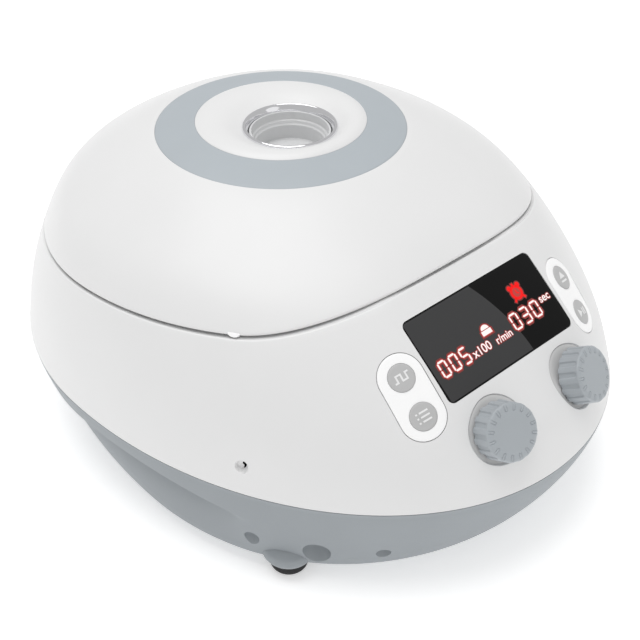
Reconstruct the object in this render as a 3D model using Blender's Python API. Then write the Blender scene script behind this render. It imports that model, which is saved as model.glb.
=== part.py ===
"""A bench-top laboratory centrifuge with an egg-shaped housing, in separate pieces.

Lengths are in millimetres while the shapes are worked out, and become metres when each
mesh is made. X is the machine's right, -Y its front and +Z up. The origin lies on the
table, under the middle of the machine's bounding box.
"""

import math

import bmesh
import bpy
import numpy as np
from mathutils import Matrix, Vector

for leftover in list(bpy.data.objects):
    bpy.data.objects.remove(leftover, do_unlink=True)

MM = 0.001
GAP = 0.3
AROUND = 40

# ---- Driving dimensions ----------------------------------------------------------------

# The egg: height of each section, half width, reach forward and back of its middle, and
# where that middle lies in y.
EGG_SECTIONS = np.array([
    (50.0, 132.2, 175.1, 136.7, 19.2),
    (67.4, 129.3, 168.7, 130.4, 20.0),
    (84.7, 124.9, 156.5, 122.9, 21.1),
    (102.0, 117.9, 138.9, 114.0, 22.2),
    (117.4, 106.9, 118.7, 105.5, 23.2),
    (130.9, 85.9, 91.4, 86.7, 24.1),
    (142.4, 59.8, 59.8, 59.8, 24.9),
    (145.9, 40.5, 40.5, 40.5, 24.9),
])
EGG_POWER = 2.03
EGG_SLOPES = np.gradient(EGG_SECTIONS[:, 1:], EGG_SECTIONS[:, 0], axis=0)
SKIN = 2.5

PANEL_TILT = math.radians(37.4)
PANEL_ORIGIN = Vector((0.0, -109.7, 100.1))
PANEL_CREASE = 1.0
LID_PROUD = 2.0
LID_CREASE = 4.0

PARTING_Z = 50.0
SEAM_Z = 106.6
SEAM_FALL = 0.066
SEAM_RISE = 0.0071
SEAM_RISE_Y = -52.0
SEAM_GAP = 1.4

CHAMBER = Vector((0.0, 18.5, 0.0))
DECK_Z = 96.0
DECK_THICK = 2.5
CHAMBER_R = 82.0
COLLAR_Z = 91.0
RIM_LAND = 3.0
RIM_LEAN = 0.2

# The base's floor outline, in the same terms as an egg section, and the roundness of the
# wall that runs down to it.
FLOOR_Z = 9.3
BASE_FLOOR = (120.9, 122.0, 150.0, -15.8)
FLOOR_POWER = 2.07
WALL_POWER = 1.28
GRIP_DEPTH = 13.5
GRIP_RAMP = 2.0
GRIP_FADE = 11.0
GRIP_Z = 42.5
GRIP_DROP = 8.5
GRIP_MIDDLE_Y = -6.0
GRIP_REACH = 68.0
FOOT_PLACES = ((-93.6, -84.6), (93.6, -84.6), (-78.0, 96.0), (78.0, 96.0))
FOOT_R = 8.3
FOOT_HEIGHT = 4.6
BOSS_R = 11.0
# Round wells in the base's front corners, which slant up and inwards: the middle of the mouth
# (x, y, z), the radius, the depth and the compass heading in degrees. The wide one holds a
# housing screw.
WELLS = ((-108.1, -77.1, 21.5, 3.5, 7.0, 210.0),
         (-91.9, -101.0, 19.8, 6.2, 12.0, 221.0),
         (-71.6, -121.2, 20.3, 3.3, 7.0, 229.0))
WELL_TILT = math.radians(35.0)
WELL_WALL = 2.0
WELL_MOUTH = 10.0
SLEEVE_REACH = 4.0
SCREW_WELL = WELLS[1]
SCREW_HEAD_R = 3.4
SCREW_SHANK_R = 1.8
SCREW_HOLE_R = 2.1
SCREW_HEAD_HEIGHT = 2.0
SCREW_LENGTH = 9.0

HINGE = Vector((0.0, 143.6, 98.0))
HINGE_BARREL_R = 4.2
HINGE_PIN_R = 1.7
HINGE_LEAF = 3.0

DISPLAY_SIZE = (79.2, 38.2)
DISPLAY_CORNER = 3.0
BUTTON_X = 51.7
BUTTON_Y = (-107.4, -120.4)
BUTTON_R = 5.85
PLATE_R = 10.0
KNOB_BASE = Vector((25.3, -138.9, 75.1))
KNOB_AXIS = Vector((0.18, -0.82, 0.54)).normalized()
KNOB_R = 12.65
KNOB_HEIGHT = 10.2
KNOB_SEAT_R = 15.0
SEAT_DEPTH = 1.0
SEAT_LEVEL = 0.9
SEAT_CLEAR = 6.0
SEAT_STEPS = 28
RELEASE_PORT = Vector((-109.4, -74.2, 62.7))
RELEASE_AXIS = Vector((-0.75, -0.62, 0.2))
RELEASE_R = 3.0
WINDOW_HOLE_R = 21.8
LINER_Z = 98.7
LINER_THICK = 2.0
LATCH_Y = -71.7
LATCH_Z = 87.0
REAR_WIDTH = 62.0
REAR_LOW = 55.0
REAR_HIGH = 83.0
REAR_Y = 137.5
REAR_WALL = 2.0

ROTOR_TUBES = 12
ROTOR_R = 75.0
ROTOR_BOTTOM = 51.0
ROTOR_RIM_Z = 90.0
TUBE_R = 5.6
TUBE_DEPTH = 28.0
TUBE_TILT = math.radians(45.0)
TUBE_MOUTH = (47.0, 76.9)
SHAFT_R = 3.7
BORE_R = 4.0


# ---- Making meshes ---------------------------------------------------------------------

def material(name, colour, roughness, metallic=0.0):
    """A plain Principled material."""
    made = bpy.data.materials.new(name)
    made.use_nodes = True
    shader = made.node_tree.nodes["Principled BSDF"]
    shader.inputs["Base Color"].default_value = (*colour, 1.0)
    shader.inputs["Roughness"].default_value = roughness
    shader.inputs["Metallic"].default_value = metallic
    made.diffuse_color = (*colour, 1.0)
    return made


WHITE = material("white_plastic", (0.82, 0.82, 0.81), 0.42)
GREY = material("grey_plastic", (0.30, 0.33, 0.35), 0.5)
RING_GREY = material("ring_grey", (0.42, 0.46, 0.48), 0.5)
KNOB_GREY = material("knob_grey", (0.33, 0.37, 0.40), 0.45)
BUTTON_GREY = material("button_grey", (0.45, 0.45, 0.45), 0.5)
BLACK_GLOSS = material("black_acrylic", (0.015, 0.015, 0.015), 0.08)
BLACK = material("black_plastic", (0.03, 0.03, 0.03), 0.5)
RUBBER = material("black_rubber", (0.02, 0.02, 0.02), 0.85)
SEAL = material("grey_silicone", (0.35, 0.35, 0.35), 0.7)
CLEAR = material("clear_cup", (0.85, 0.88, 0.88), 0.05)
CHROME = material("chrome", (0.8, 0.8, 0.82), 0.08, 1.0)
STEEL = material("brushed_steel", (0.55, 0.55, 0.56), 0.3, 1.0)
ALUMINIUM = material("aluminium", (0.62, 0.63, 0.64), 0.35, 1.0)
BOARD = material("circuit_board", (0.02, 0.12, 0.05), 0.5)


def finish_mesh(name, work, look, origin, parent):
    """Turn a bmesh in millimetres into an object whose origin is at the given place."""
    bmesh.ops.recalc_face_normals(work, faces=work.faces)
    work.transform(Matrix.Scale(MM, 4) @ Matrix.Translation(-Vector(origin)))
    mesh = bpy.data.meshes.new(name)
    work.to_mesh(mesh)
    work.free()
    mesh.shade_smooth()
    mesh.set_sharp_from_angle(angle=math.radians(30.0))
    mesh.materials.append(look)
    made = bpy.data.objects.new(name, mesh)
    bpy.context.scene.collection.objects.link(made)
    made.location = Vector(origin) * MM
    if parent:
        made.parent = parent
        made.location = made.location - parent.location
    return made


def pivot(name, place):
    """An empty on a joint's axis, which the moving pieces hang from."""
    made = bpy.data.objects.new(name, None)
    bpy.context.scene.collection.objects.link(made)
    made.location = Vector(place) * MM
    return made


def loft(name, rows, look, closed=False, origin=(0.0, 0.0, 0.0), parent=None):
    """A solid through rows of points; closed joins the last row to the first, as a ring."""
    work = bmesh.new()
    count = len(rows[0])
    grid = [[work.verts.new(point) for point in row] for row in rows]
    pairs = list(zip(grid, grid[1:]))
    if closed:
        pairs.append((grid[-1], grid[0]))
    for low, high in pairs:
        for i in range(count):
            j = (i + 1) % count
            work.faces.new((low[i], low[j], high[j], high[i]))
    if not closed:
        work.faces.new(grid[0])
        work.faces.new(grid[-1])
    return finish_mesh(name, work, look, origin, parent)


def frame_at(origin, normal):
    """A local frame on a face: X stays level, Y runs up the slope and Z is the normal."""
    z = Vector(normal).normalized()
    x = Vector((0.0, 0.0, 1.0)).cross(z)
    x = x.normalized() if x.length > 0.01 else Vector((1.0, 0.0, 0.0))
    y = z.cross(x)
    return Matrix.Translation(origin) @ Matrix((x, y, z)).transposed().to_4x4()


UPRIGHT = Matrix.Identity(4)
PANEL = frame_at(PANEL_ORIGIN, (0.0, -math.sin(PANEL_TILT), math.cos(PANEL_TILT)))


def circle(frame, radius, height, steps):
    """Points on a circle in a local frame."""
    turn = 2.0 * math.pi / steps
    return [frame @ Vector((radius * math.cos(i * turn), radius * math.sin(i * turn), height))
            for i in range(steps)]


def turned(name, profile, look, frame=UPRIGHT, steps=40, bored=True, parent=None):
    """A turned piece: profile lists (radius, height); bored pieces close on themselves."""
    rows = [circle(frame, radius, height, steps) for radius, height in profile]
    origin = frame.translation if parent is None else parent.location / MM
    return loft(name, rows, look, closed=bored, origin=origin, parent=parent)


def prism(name, outline, low, high, look, frame=UPRIGHT, parent=None):
    """An outline of (x, y) points pushed from one height to another in a local frame."""
    rows = [[frame @ Vector((x, y, height)) for x, y in outline] for height in (low, high)]
    origin = frame.translation if parent is None else parent.location / MM
    return loft(name, rows, look, origin=origin, parent=parent)


def rounded_outline(width, height, corner, steps=4, middle=(0.0, 0.0)):
    """A rectangle with round corners, as (x, y) points."""
    points = []
    for quarter, (sx, sy) in enumerate(((1, 1), (-1, 1), (-1, -1), (1, -1))):
        for k in range(steps + 1):
            angle = math.pi / 2.0 * (quarter + k / steps)
            points.append((middle[0] + sx * (width / 2.0 - corner) + corner * math.cos(angle),
                           middle[1] + sy * (height / 2.0 - corner) + corner * math.sin(angle)))
    return points


def box(name, low, high, look, corner=0.0, parent=None):
    """An upright block between two corners, with its upright edges rounded."""
    width = high[0] - low[0]
    depth = high[1] - low[1]
    middle = ((low[0] + high[0]) / 2.0, (low[1] + high[1]) / 2.0)
    if corner:
        outline = rounded_outline(width, depth, corner, 3, middle)
    else:
        outline = [(low[0], low[1]), (high[0], low[1]), (high[0], high[1]), (low[0], high[1])]
    return prism(name, outline, low[2], high[2], look, parent=parent)


def tool(piece):
    """Mark an object as a cutter or a filler, which isn't a piece of the machine."""
    piece.hide_render = True
    piece.display_type = "WIRE"
    return piece


def joined(name, pieces):
    """Several separate tool solids as one object."""
    work = bmesh.new()
    for piece in pieces:
        copy = piece.data.copy()
        copy.transform(Matrix.Translation(piece.location))
        work.from_mesh(copy)
        bpy.data.objects.remove(piece, do_unlink=True)
    work.transform(Matrix.Scale(1.0 / MM, 4))
    return tool(finish_mesh(name, work, BLACK, (0.0, 0.0, 0.0), None))


def combine(piece, other, operation="DIFFERENCE"):
    """A Boolean between a piece and a tool solid."""
    step = piece.modifiers.new(other.name, "BOOLEAN")
    step.object = tool(other)
    step.operation = operation
    step.solver = "EXACT"


# ---- The egg ---------------------------------------------------------------------------

def egg_section(z):
    """Half width, forward reach, back reach and middle y of the egg at a height."""
    heights = EGG_SECTIONS[:, 0]
    i = int(np.clip(np.searchsorted(heights, z) - 1, 0, len(heights) - 2))
    span = heights[i + 1] - heights[i]
    t = (z - heights[i]) / span
    start, end = EGG_SECTIONS[i, 1:], EGG_SECTIONS[i + 1, 1:]
    leave, arrive = EGG_SLOPES[i] * span, EGG_SLOPES[i + 1] * span
    return ((1 + 2 * t) * (1 - t) ** 2 * start + t * (1 - t) ** 2 * leave
            + t * t * (3 - 2 * t) * end + t * t * (t - 1) * arrive)


def soft_max(a, b, width):
    """The larger of two numbers, with the change between them rounded off."""
    return max(a, b) + width * math.log1p(math.exp(-abs(a - b) / width))


def oval(angle, half_width, front, back, middle_y, power):
    """A point on a superellipse whose front and back halves reach differently."""
    c, s = math.cos(angle), math.sin(angle)
    x = half_width * math.copysign(abs(c) ** (2.0 / power), c)
    reach = back if s > 0 else front
    return x, middle_y + reach * math.copysign(abs(s) ** (2.0 / power), s)


def panel_y(z, proud=0.0):
    """Where the flat control panel, or a plane standing proud of it, lies at a height."""
    rise = (z - PANEL_ORIGIN.z) / math.tan(PANEL_TILT)
    return PANEL_ORIGIN.y + rise - proud / math.sin(PANEL_TILT)


def egg_point(angle, z, proud=0.0, crease=PANEL_CREASE):
    """A point on the egg, shaved flat at the front by the panel."""
    half_width, front, back, middle_y = egg_section(z)
    x, y = oval(angle, half_width, front, back, middle_y, EGG_POWER)
    return Vector((x, soft_max(y, panel_y(z, proud), crease), z))


def seam_height(y):
    """Height of the joint between lid and housing, which climbs towards the front."""
    climb = max(0.0, SEAM_RISE_Y - y)
    return SEAM_Z - SEAM_FALL * y + SEAM_RISE * climb * climb


def seam_z(angle, proud, crease):
    """Height where the seam crosses the egg at an angle, by bisection."""
    low, high = 90.0, 128.0
    for _ in range(40):
        z = (low + high) / 2.0
        if z > seam_height(egg_point(angle, z, proud, crease).y):
            high = z
        else:
            low = z
    return low


def front_skin_y(x, z):
    """The y of the housing's front skin at a place seen from the front."""
    half_width, front, _, middle_y = egg_section(z)
    inside = max(0.0, 1.0 - (abs(x) / half_width) ** EGG_POWER)
    y = middle_y - front * inside ** (1.0 / EGG_POWER)
    return soft_max(y, panel_y(z), PANEL_CREASE)


def skin_normal(x, z):
    """The outward normal of the front skin."""
    step = 0.5
    slope_x = (front_skin_y(x + step, z) - front_skin_y(x - step, z)) / (2.0 * step)
    slope_z = (front_skin_y(x, z + step) - front_skin_y(x, z - step)) / (2.0 * step)
    return Vector((slope_x, -1.0, slope_z)).normalized()


def skin_height(frame, u, v):
    """How far above a local frame's plane the front skin lies, by bisection."""
    low, high = -12.0, 12.0
    for _ in range(36):
        w = (low + high) / 2.0
        place = frame @ Vector((u, v, w))
        if place.y > front_skin_y(place.x, place.z):
            low = w
        else:
            high = w
    return low


def on_skin(frame, u, v, lift):
    """A point over (u, v) of a local frame, lifted off the front skin."""
    return frame @ Vector((u, v, skin_height(frame, u, v) + lift))


def inset(rows, depth):
    """Rows moved inwards along the surface's own normals."""
    grid = np.array([[tuple(point) for point in row] for row in rows])
    along = np.roll(grid, -1, axis=1) - np.roll(grid, 1, axis=1)
    up = np.gradient(grid, axis=0)
    normal = np.cross(along, up)
    normal /= np.linalg.norm(normal, axis=2, keepdims=True)
    return [[Vector(point) for point in row] for row in grid - depth * normal]


ANGLES = [2.0 * math.pi * i / AROUND for i in range(AROUND)]


def towards_chamber(point, distance, z):
    """A point moved level towards the chamber's axis, and put at a height."""
    radial = Vector((point.x - CHAMBER.x, point.y - CHAMBER.y, 0.0))
    moved = radial * ((radial.length - distance) / radial.length)
    return Vector((CHAMBER.x + moved.x, CHAMBER.y + moved.y, z))


def chamber_ring(row, radius, z, centre=CHAMBER):
    """A circle whose points lie in the same directions as another row's points."""
    ring = []
    for point in row:
        radial = Vector((point.x - CHAMBER.x, point.y - CHAMBER.y, 0.0)).normalized()
        ring.append(Vector((centre.x + radius * radial.x, centre.y + radius * radial.y, z)))
    return ring


# ---- Base ------------------------------------------------------------------------------

def grip_depth(y, z):
    """How deep the finger grip under the brim is, on either side of the base."""
    away = (y - GRIP_MIDDLE_Y) / GRIP_REACH
    below = GRIP_Z - GRIP_DROP * away * away - z
    if abs(away) >= 1.0 or below <= 0.0:
        return 0.0
    return GRIP_DEPTH * (1.0 - away * away) * min(1.0, below / GRIP_RAMP) * math.exp(-below / GRIP_FADE)


def base_point(angle, z, depth):
    """A point on the base's bowl, some way in from its outside."""
    t = min(1.0, (PARTING_Z - GAP - z) / (PARTING_Z - GAP - FLOOR_Z))
    blend = 1.0 - (1.0 - t ** WALL_POWER) ** (1.0 / WALL_POWER)
    half_width, front, back, middle_y = egg_section(PARTING_Z) * (1.0 - blend)
    half_width += BASE_FLOOR[0] * blend - depth
    front += BASE_FLOOR[1] * blend - depth
    back += BASE_FLOOR[2] * blend - depth
    middle_y += BASE_FLOOR[3] * blend
    power = EGG_POWER + (FLOOR_POWER - EGG_POWER) * blend
    x, y = oval(angle, half_width, front, back, middle_y, power)
    return Vector((math.copysign(max(0.0, abs(x) - grip_depth(y, z)), x), y, z))


def base_rows(depth, low):
    """The base's bowl from its floor up to the parting line."""
    heights = (low, low + 1.2, 16.0, 24.0, 32.0, 39.0, 42.5, PARTING_Z - GAP)
    return [[base_point(angle, z, depth) for angle in ANGLES] for z in heights]


def well_frame(well, side):
    """The frame of a well's mouth, looking out of it; side is 1 on the left and -1 on the right."""
    x, y, z, _, _, heading = well
    heading = math.radians(heading)
    across = math.sin(WELL_TILT)
    outward = (side * across * math.cos(heading), across * math.sin(heading), -math.cos(WELL_TILT))
    return frame_at((side * x, y, z), outward)


def well_solid(well, side, wall, beyond):
    """A well's bore, or with a wall the sleeve about it, and some way out beyond its mouth."""
    radius, deep = well[3] + wall, well[4] + wall
    return turned("well", [(radius, -deep), (radius, beyond)], GREY, well_frame(well, side), 12,
                  bored=False)


def make_base():
    outside = base_rows(0.0, FLOOR_Z)
    inside = base_rows(SKIN, FLOOR_Z + SKIN)
    base = loft("base_shell", outside + inside[::-1], GREY)
    bosses = [turned("boss", [(8.6, 5.0), (BOSS_R - 0.6, 6.4), (BOSS_R, 8.4), (BOSS_R - 0.6, 10.4),
                              (8.6, 11.0)], GREY, Matrix.Translation((x, y, 0.0)), 16, bored=False)
              for x, y in FOOT_PLACES]
    combine(base, joined("foot_bosses", bosses), "UNION")
    sleeves = [well_solid(well, side, WELL_WALL, SLEEVE_REACH) for well in WELLS for side in (1, -1)]
    sleeves = joined("well_sleeves", sleeves)
    combine(sleeves, tool(loft("base_body", base_rows(GAP, FLOOR_Z + GAP), GREY)), "INTERSECT")
    combine(base, sleeves, "UNION")
    bores = [well_solid(well, side, 0.0, WELL_MOUTH) for well in WELLS for side in (1, -1)]
    combine(base, joined("base_wells", bores))
    screw_end = -SCREW_WELL[4]
    holes = [turned("hole", [(SCREW_HOLE_R, screw_end - SCREW_LENGTH), (SCREW_HOLE_R, screw_end + 1.0)],
                    GREY, well_frame(SCREW_WELL, side), 12, bored=False) for side in (1, -1)]
    combine(base, joined("screw_holes", holes))
    for index, (x, y) in enumerate(FOOT_PLACES):
        turned(f"foot_{index + 1}", [(FOOT_R - 0.8, 0.0), (FOOT_R, 0.8), (FOOT_R, FOOT_HEIGHT)],
               RUBBER, Matrix.Translation((x, y, 0.0)), 20, bored=False)


# ---- Housing ---------------------------------------------------------------------------

def make_housing():
    tops = [seam_z(angle, 0.0, PANEL_CREASE) - SEAM_GAP for angle in ANGLES]
    steps = 6
    outside = [[egg_point(angle, PARTING_Z + GAP / 2.0 + (top - PARTING_Z) * k / steps)
                for angle, top in zip(ANGLES, tops)] for k in range(steps + 1)]
    rim = outside[-1]
    land = [towards_chamber(p, RIM_LAND, p.z) for p in rim]
    wall_foot = [towards_chamber(p, RIM_LAND + (p.z - DECK_Z) * RIM_LEAN, DECK_Z) for p in rim]
    under_deck = DECK_Z - DECK_THICK
    inside = inset(outside, SKIN)
    for point in inside[0]:
        point.z = outside[0][0].z
    rows = outside + [
        land,
        wall_foot,
        chamber_ring(rim, CHAMBER_R, DECK_Z),
        chamber_ring(rim, CHAMBER_R, COLLAR_Z),
        chamber_ring(rim, CHAMBER_R + SKIN, COLLAR_Z),
        chamber_ring(rim, CHAMBER_R + SKIN, under_deck),
        [towards_chamber(p, -SKIN, under_deck) for p in wall_foot],
    ] + inside[::-1]
    housing = loft("upper_housing", rows, WHITE, closed=True)

    cutters = [prism("cut", rounded_outline(DISPLAY_SIZE[0] + 2 * GAP, DISPLAY_SIZE[1] + 2 * GAP,
                                            DISPLAY_CORNER), -8.0, 6.0, BLACK, PANEL)]
    for side in (1, -1):
        knob = knob_frame(side)
        cutters.append(knob_seat(knob))
        cutters.append(turned("cut", [(4.0, -8.0), (4.0, GAP - SEAT_LEVEL)], BLACK, knob, 12,
                              bored=False))
        cutters.append(plate_solid("cut", side, PLATE_R + GAP, -1.3, 6.0))
        for frame in button_frames(side):
            cutters.append(turned("cut", [(4.2, -8.0), (4.2, -1.3 + GAP)], BLACK, frame, 12,
                                  bored=False))
    cutters.append(turned("cut", [(RELEASE_R, -7.0), (RELEASE_R, 7.0)], BLACK,
                          frame_at(RELEASE_PORT, RELEASE_AXIS), 14, bored=False))
    return housing, cutters


def knob_seat(frame):
    """The shallow round recess about a knob: it follows the skin where the skin falls away."""
    def ring(radius):
        return [(radius * math.cos(math.tau * k / SEAT_STEPS), radius * math.sin(math.tau * k / SEAT_STEPS))
                for k in range(SEAT_STEPS)]

    def floor(radius):
        return [frame @ Vector((u, v, min(skin_height(frame, u, v) - SEAT_DEPTH, -SEAT_LEVEL)))
                for u, v in ring(radius)]

    def above(radius):
        return [on_skin(frame, u, v, SEAT_CLEAR) for u, v in ring(radius)]

    half = KNOB_SEAT_R / 2.0
    return loft("cut", [floor(half), floor(KNOB_SEAT_R), above(KNOB_SEAT_R), above(half)], BLACK)


def knob_frame(side):
    """The frame of a knob's seat; side is 1 on the right and -1 on the left."""
    flip = Vector((side, 1.0, 1.0))
    return frame_at(KNOB_BASE * flip, KNOB_AXIS * flip)


def button_frames(side):
    """Frames on the skin at the two buttons of one plate, square to that plate."""
    plate = plate_frame(side)
    frames = []
    for offset in (PLATE_SPAN / 2.0, -PLATE_SPAN / 2.0):
        place = on_skin(plate, 0.0, offset, 0.0)
        frames.append(Matrix.Translation(place) @ plate.to_3x3().to_4x4())
    return frames


def skin_at_y(x, y):
    """The point of the front skin straight above (x, y), by bisection."""
    low, high = PARTING_Z, 125.0
    for _ in range(36):
        z = (low + high) / 2.0
        if front_skin_y(x, z) < y:
            low = z
        else:
            high = z
    return Vector((x, y, low))


BUTTON_POINTS = [skin_at_y(BUTTON_X, y) for y in BUTTON_Y]
PLATE_SPAN = (BUTTON_POINTS[0] - BUTTON_POINTS[1]).length


def plate_frame(side):
    """The frame of a button plate, midway between its buttons and square to the skin."""
    middle = (BUTTON_POINTS[0] + BUTTON_POINTS[1]) / 2.0
    normal = skin_normal(middle.x, middle.z)
    flip = Vector((side, 1.0, 1.0))
    z = normal * flip
    y = ((BUTTON_POINTS[0] - BUTTON_POINTS[1]) * flip).normalized()
    x = y.cross(z).normalized()
    y = z.cross(x)
    return Matrix.Translation(middle * flip) @ Matrix((x, y, z)).transposed().to_4x4()


def stadium(radius, span, steps=8):
    """The outline of a plate with round ends about its two buttons."""
    points = []
    for end, start in ((span / 2.0, 0.0), (-span / 2.0, math.pi)):
        for k in range(steps + 1):
            angle = start + math.pi * k / steps
            points.append((radius * math.cos(angle), end + radius * math.sin(angle)))
    return points


def plate_solid(name, side, radius, low, high, look=WHITE):
    """A stadium-shaped plate that follows the skin, between two depths from it."""
    frame = plate_frame(side)
    outline = stadium(radius, PLATE_SPAN)
    rings = [[(u * scale, v * scale) for u, v in outline] for scale in (0.5, 1.0)]
    lower = [[on_skin(frame, u, v, low) for u, v in ring] for ring in rings]
    upper = [[on_skin(frame, u, v, high) for u, v in ring] for ring in reversed(rings)]
    return loft(name, lower + upper, look)


def make_panel():
    """The display, the button plates and buttons, the knobs and their encoders."""
    prism("display_window", rounded_outline(*DISPLAY_SIZE, DISPLAY_CORNER), -2.4, -0.1,
          BLACK_GLOSS, PANEL)
    prism("display_module", rounded_outline(70.0, 30.0, 1.0, 2), -9.0, -2.8, BLACK, PANEL)
    names = {-1: ("pulse_button", "program_button"), 1: ("door_button", "run_button")}
    for side, word in ((-1, "left"), (1, "right")):
        plate = plate_solid(f"button_plate_{word}", side, PLATE_R, -1.0, 0.15)
        holes = [turned("hole", [(BUTTON_R + GAP, -4.0), (BUTTON_R + GAP, 4.0)], BLACK, frame, 20,
                        bored=False) for frame in button_frames(side)]
        combine(plate, joined(f"{word}_plate_holes", holes))
        for name, frame in zip(names[side], button_frames(side)):
            make_button(name, frame)
    for side, word, name in ((-1, "left", "speed_knob"), (1, "right", "time_knob")):
        frame = knob_frame(side)
        hub = pivot(f"{name}_axis", frame.translation)
        turned(name, [(3.4, 7.0), (3.4, -0.3), (KNOB_R - 0.6, -0.3), (KNOB_R, 0.4),
                      (KNOB_R - 0.3, KNOB_HEIGHT - 1.0), (KNOB_R - 1.2, KNOB_HEIGHT)],
               KNOB_GREY, frame, 28, bored=False, parent=hub)
        turned(f"encoder_shaft_{word}", [(3.0, -16.0), (3.0, 6.5)], ALUMINIUM, frame, 16,
               bored=False, parent=hub)
        turned(f"encoder_{word}", [(3.4, -17.0), (8.0, -17.0), (8.0, -10.0), (5.0, -10.0),
                                   (5.0, -5.0), (3.4, -5.0)], BLACK, frame, 16)


def make_button(name, frame):
    """A round push button: a cap that follows the skin, on a stem through the housing."""
    steps = 16

    def ring(radius, lift):
        turn = 2.0 * math.pi / steps
        return [on_skin(frame, radius * math.cos(i * turn), radius * math.sin(i * turn), lift)
                for i in range(steps)]

    axis = pivot(f"{name}_axis", frame.translation)
    rows = [circle(frame, 3.4, -9.0, steps), circle(frame, 3.4, -2.0, steps), ring(3.4, -0.6),
            ring(BUTTON_R, -0.6), ring(BUTTON_R, 0.2), ring(BUTTON_R - 0.6, 0.45)]
    loft(name, rows, BUTTON_GREY, origin=frame.translation, parent=axis)


# ---- Lid -------------------------------------------------------------------------------

def make_lid(axis):
    """The lid's outer shell, its grey ring, the window and the liner under it."""
    tops = [seam_z(angle, LID_PROUD, LID_CREASE) for angle in ANGLES]
    ring_outer, ring_inner = EGG_SECTIONS[-2], EGG_SECTIONS[-1]
    steps = 6
    outside = []
    for k in range(steps + 1):
        rise = 1.0 - (1.0 - k / steps) ** 1.7
        outside.append([egg_point(angle, top + (ring_outer[0] - top) * rise, LID_PROUD, LID_CREASE)
                        for angle, top in zip(ANGLES, tops)])
    inside = inset(outside, SKIN)
    for point, lip in zip(inside[0], outside[0]):
        point.z = lip.z

    def crown(radius, z):
        drift = min(1.0, max(0.0, (ring_inner[1] - radius) / (ring_inner[1] - WINDOW_HOLE_R)))
        middle = Vector((0.0, ring_inner[4] + (CHAMBER.y - ring_inner[4]) * drift, 0.0))
        return [middle + Vector((radius * math.cos(a), radius * math.sin(a), z)) for a in ANGLES]

    def egg_crown(radius, drop):
        """A circle on the egg between the ring's edges, sunk below its surface."""
        share = (ring_outer[1] - radius) / (ring_outer[1] - ring_inner[1])
        z = ring_outer[0] + (ring_inner[0] - ring_outer[0]) * math.sin(share * math.pi / 2.0)
        return crown(radius, z - drop)

    groove = 1.2
    outer_r, inner_r = ring_outer[1] - 0.3, ring_inner[1]
    top_rows = [
        egg_crown(outer_r, 0.0),
        egg_crown(outer_r, groove),
        egg_crown(50.0, groove),
        egg_crown(inner_r, groove),
        egg_crown(inner_r, 0.0),
        crown(34.0, 147.6),
        crown(28.0, 146.6),
        crown(WINDOW_HOLE_R, 143.6),
        crown(WINDOW_HOLE_R, 141.2),
        crown(44.0, 141.4),
    ]
    rows = outside + top_rows + inside[::-1]
    loft("lid_shell", rows, WHITE, closed=True, origin=HINGE, parent=axis)

    ring_rows = [egg_crown(inner_r + GAP, groove - GAP), egg_crown(50.0, groove - GAP),
                 egg_crown(outer_r - GAP, groove - GAP), egg_crown(outer_r - GAP, 0.05),
                 egg_crown(50.0, -0.05), egg_crown(inner_r + GAP, 0.05)]
    loft("lid_ring", ring_rows, RING_GREY, closed=True, origin=HINGE, parent=axis)

    window = Matrix.Translation(CHAMBER)
    turned("window_bezel", [(19.9, 144.1), (21.6, 144.1), (22.3, 144.6), (21.9, 145.4),
                            (20.6, 145.7), (19.9, 145.2)], CHROME, window, 32, parent=axis)
    turned("window_cup", [(19.5, 127.0), (19.5, 144.9), (17.8, 144.9), (17.8, 138.6),
                          (16.2, 138.2), (16.0, 129.4)], CLEAR, window, 28, bored=False,
           parent=axis)

    def level(radius, z):
        return chamber_ring(outside[0], radius, z)

    sleeve = inset(outside[1:3], SKIN + 0.8)[0]
    under = [sleeve, level(91.0, LINER_Z), level(80.0, LINER_Z), level(64.0, LINER_Z + 12.0),
             level(20.5, LINER_Z + 27.0)]
    over = [[p + Vector((0.0, 0.0, LINER_THICK)) for p in row] for row in under[::-1]]
    over[-1] = [towards_chamber(p, 1.5, p.z + 0.8) for p in sleeve]
    loft("lid_liner", under + over, WHITE, closed=True, origin=HINGE, parent=axis)


def make_hinge(axis):
    """Two hinges outside the back: brackets and pins on the housing, arms on the lid."""
    steps = 8
    for side, word in ((-1, "left"), (1, "right")):
        for kind, inner, outer, low, high in (("lid_hinge_arm", 8.0, 18.7, 100.5, 110.0),
                                              ("hinge_bracket", 19.0, 29.0, 84.5, 95.5)):
            near = [(egg_back_y(inner, low + (high - low) * k / steps) + GAP,
                     low + (high - low) * k / steps) for k in range(steps + 1)]
            outline = hinge_outline(near, kind == "lid_hinge_arm")
            start, end = sorted((side * inner, side * outer))
            rows = [[Vector((x, y, z)) for y, z in outline] for x in (start, end)]
            holder = axis if kind == "lid_hinge_arm" else None
            piece = loft(f"{kind}_{word}", rows, WHITE if holder else GREY, origin=HINGE,
                         parent=holder)
            bore = turned("bore", [(HINGE_PIN_R + GAP, -60.0), (HINGE_PIN_R + GAP, 60.0)], BLACK,
                          frame_at(HINGE, (1.0, 0.0, 0.0)), 16, bored=False)
            combine(piece, joined(f"{kind}_{word}_bore", [bore]))
        start, end = sorted((side * 9.0, side * 28.0))
        turned(f"hinge_pin_{word}", [(HINGE_PIN_R, start), (HINGE_PIN_R, end)], STEEL,
               frame_at(HINGE, (1.0, 0.0, 0.0)), 16, bored=False)


def egg_back_y(x, z):
    """The y of the egg's back skin."""
    half_width, _, back, middle_y = egg_section(z)
    return middle_y + back * (1.0 - (abs(x) / half_width) ** EGG_POWER) ** (1.0 / EGG_POWER)


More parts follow.
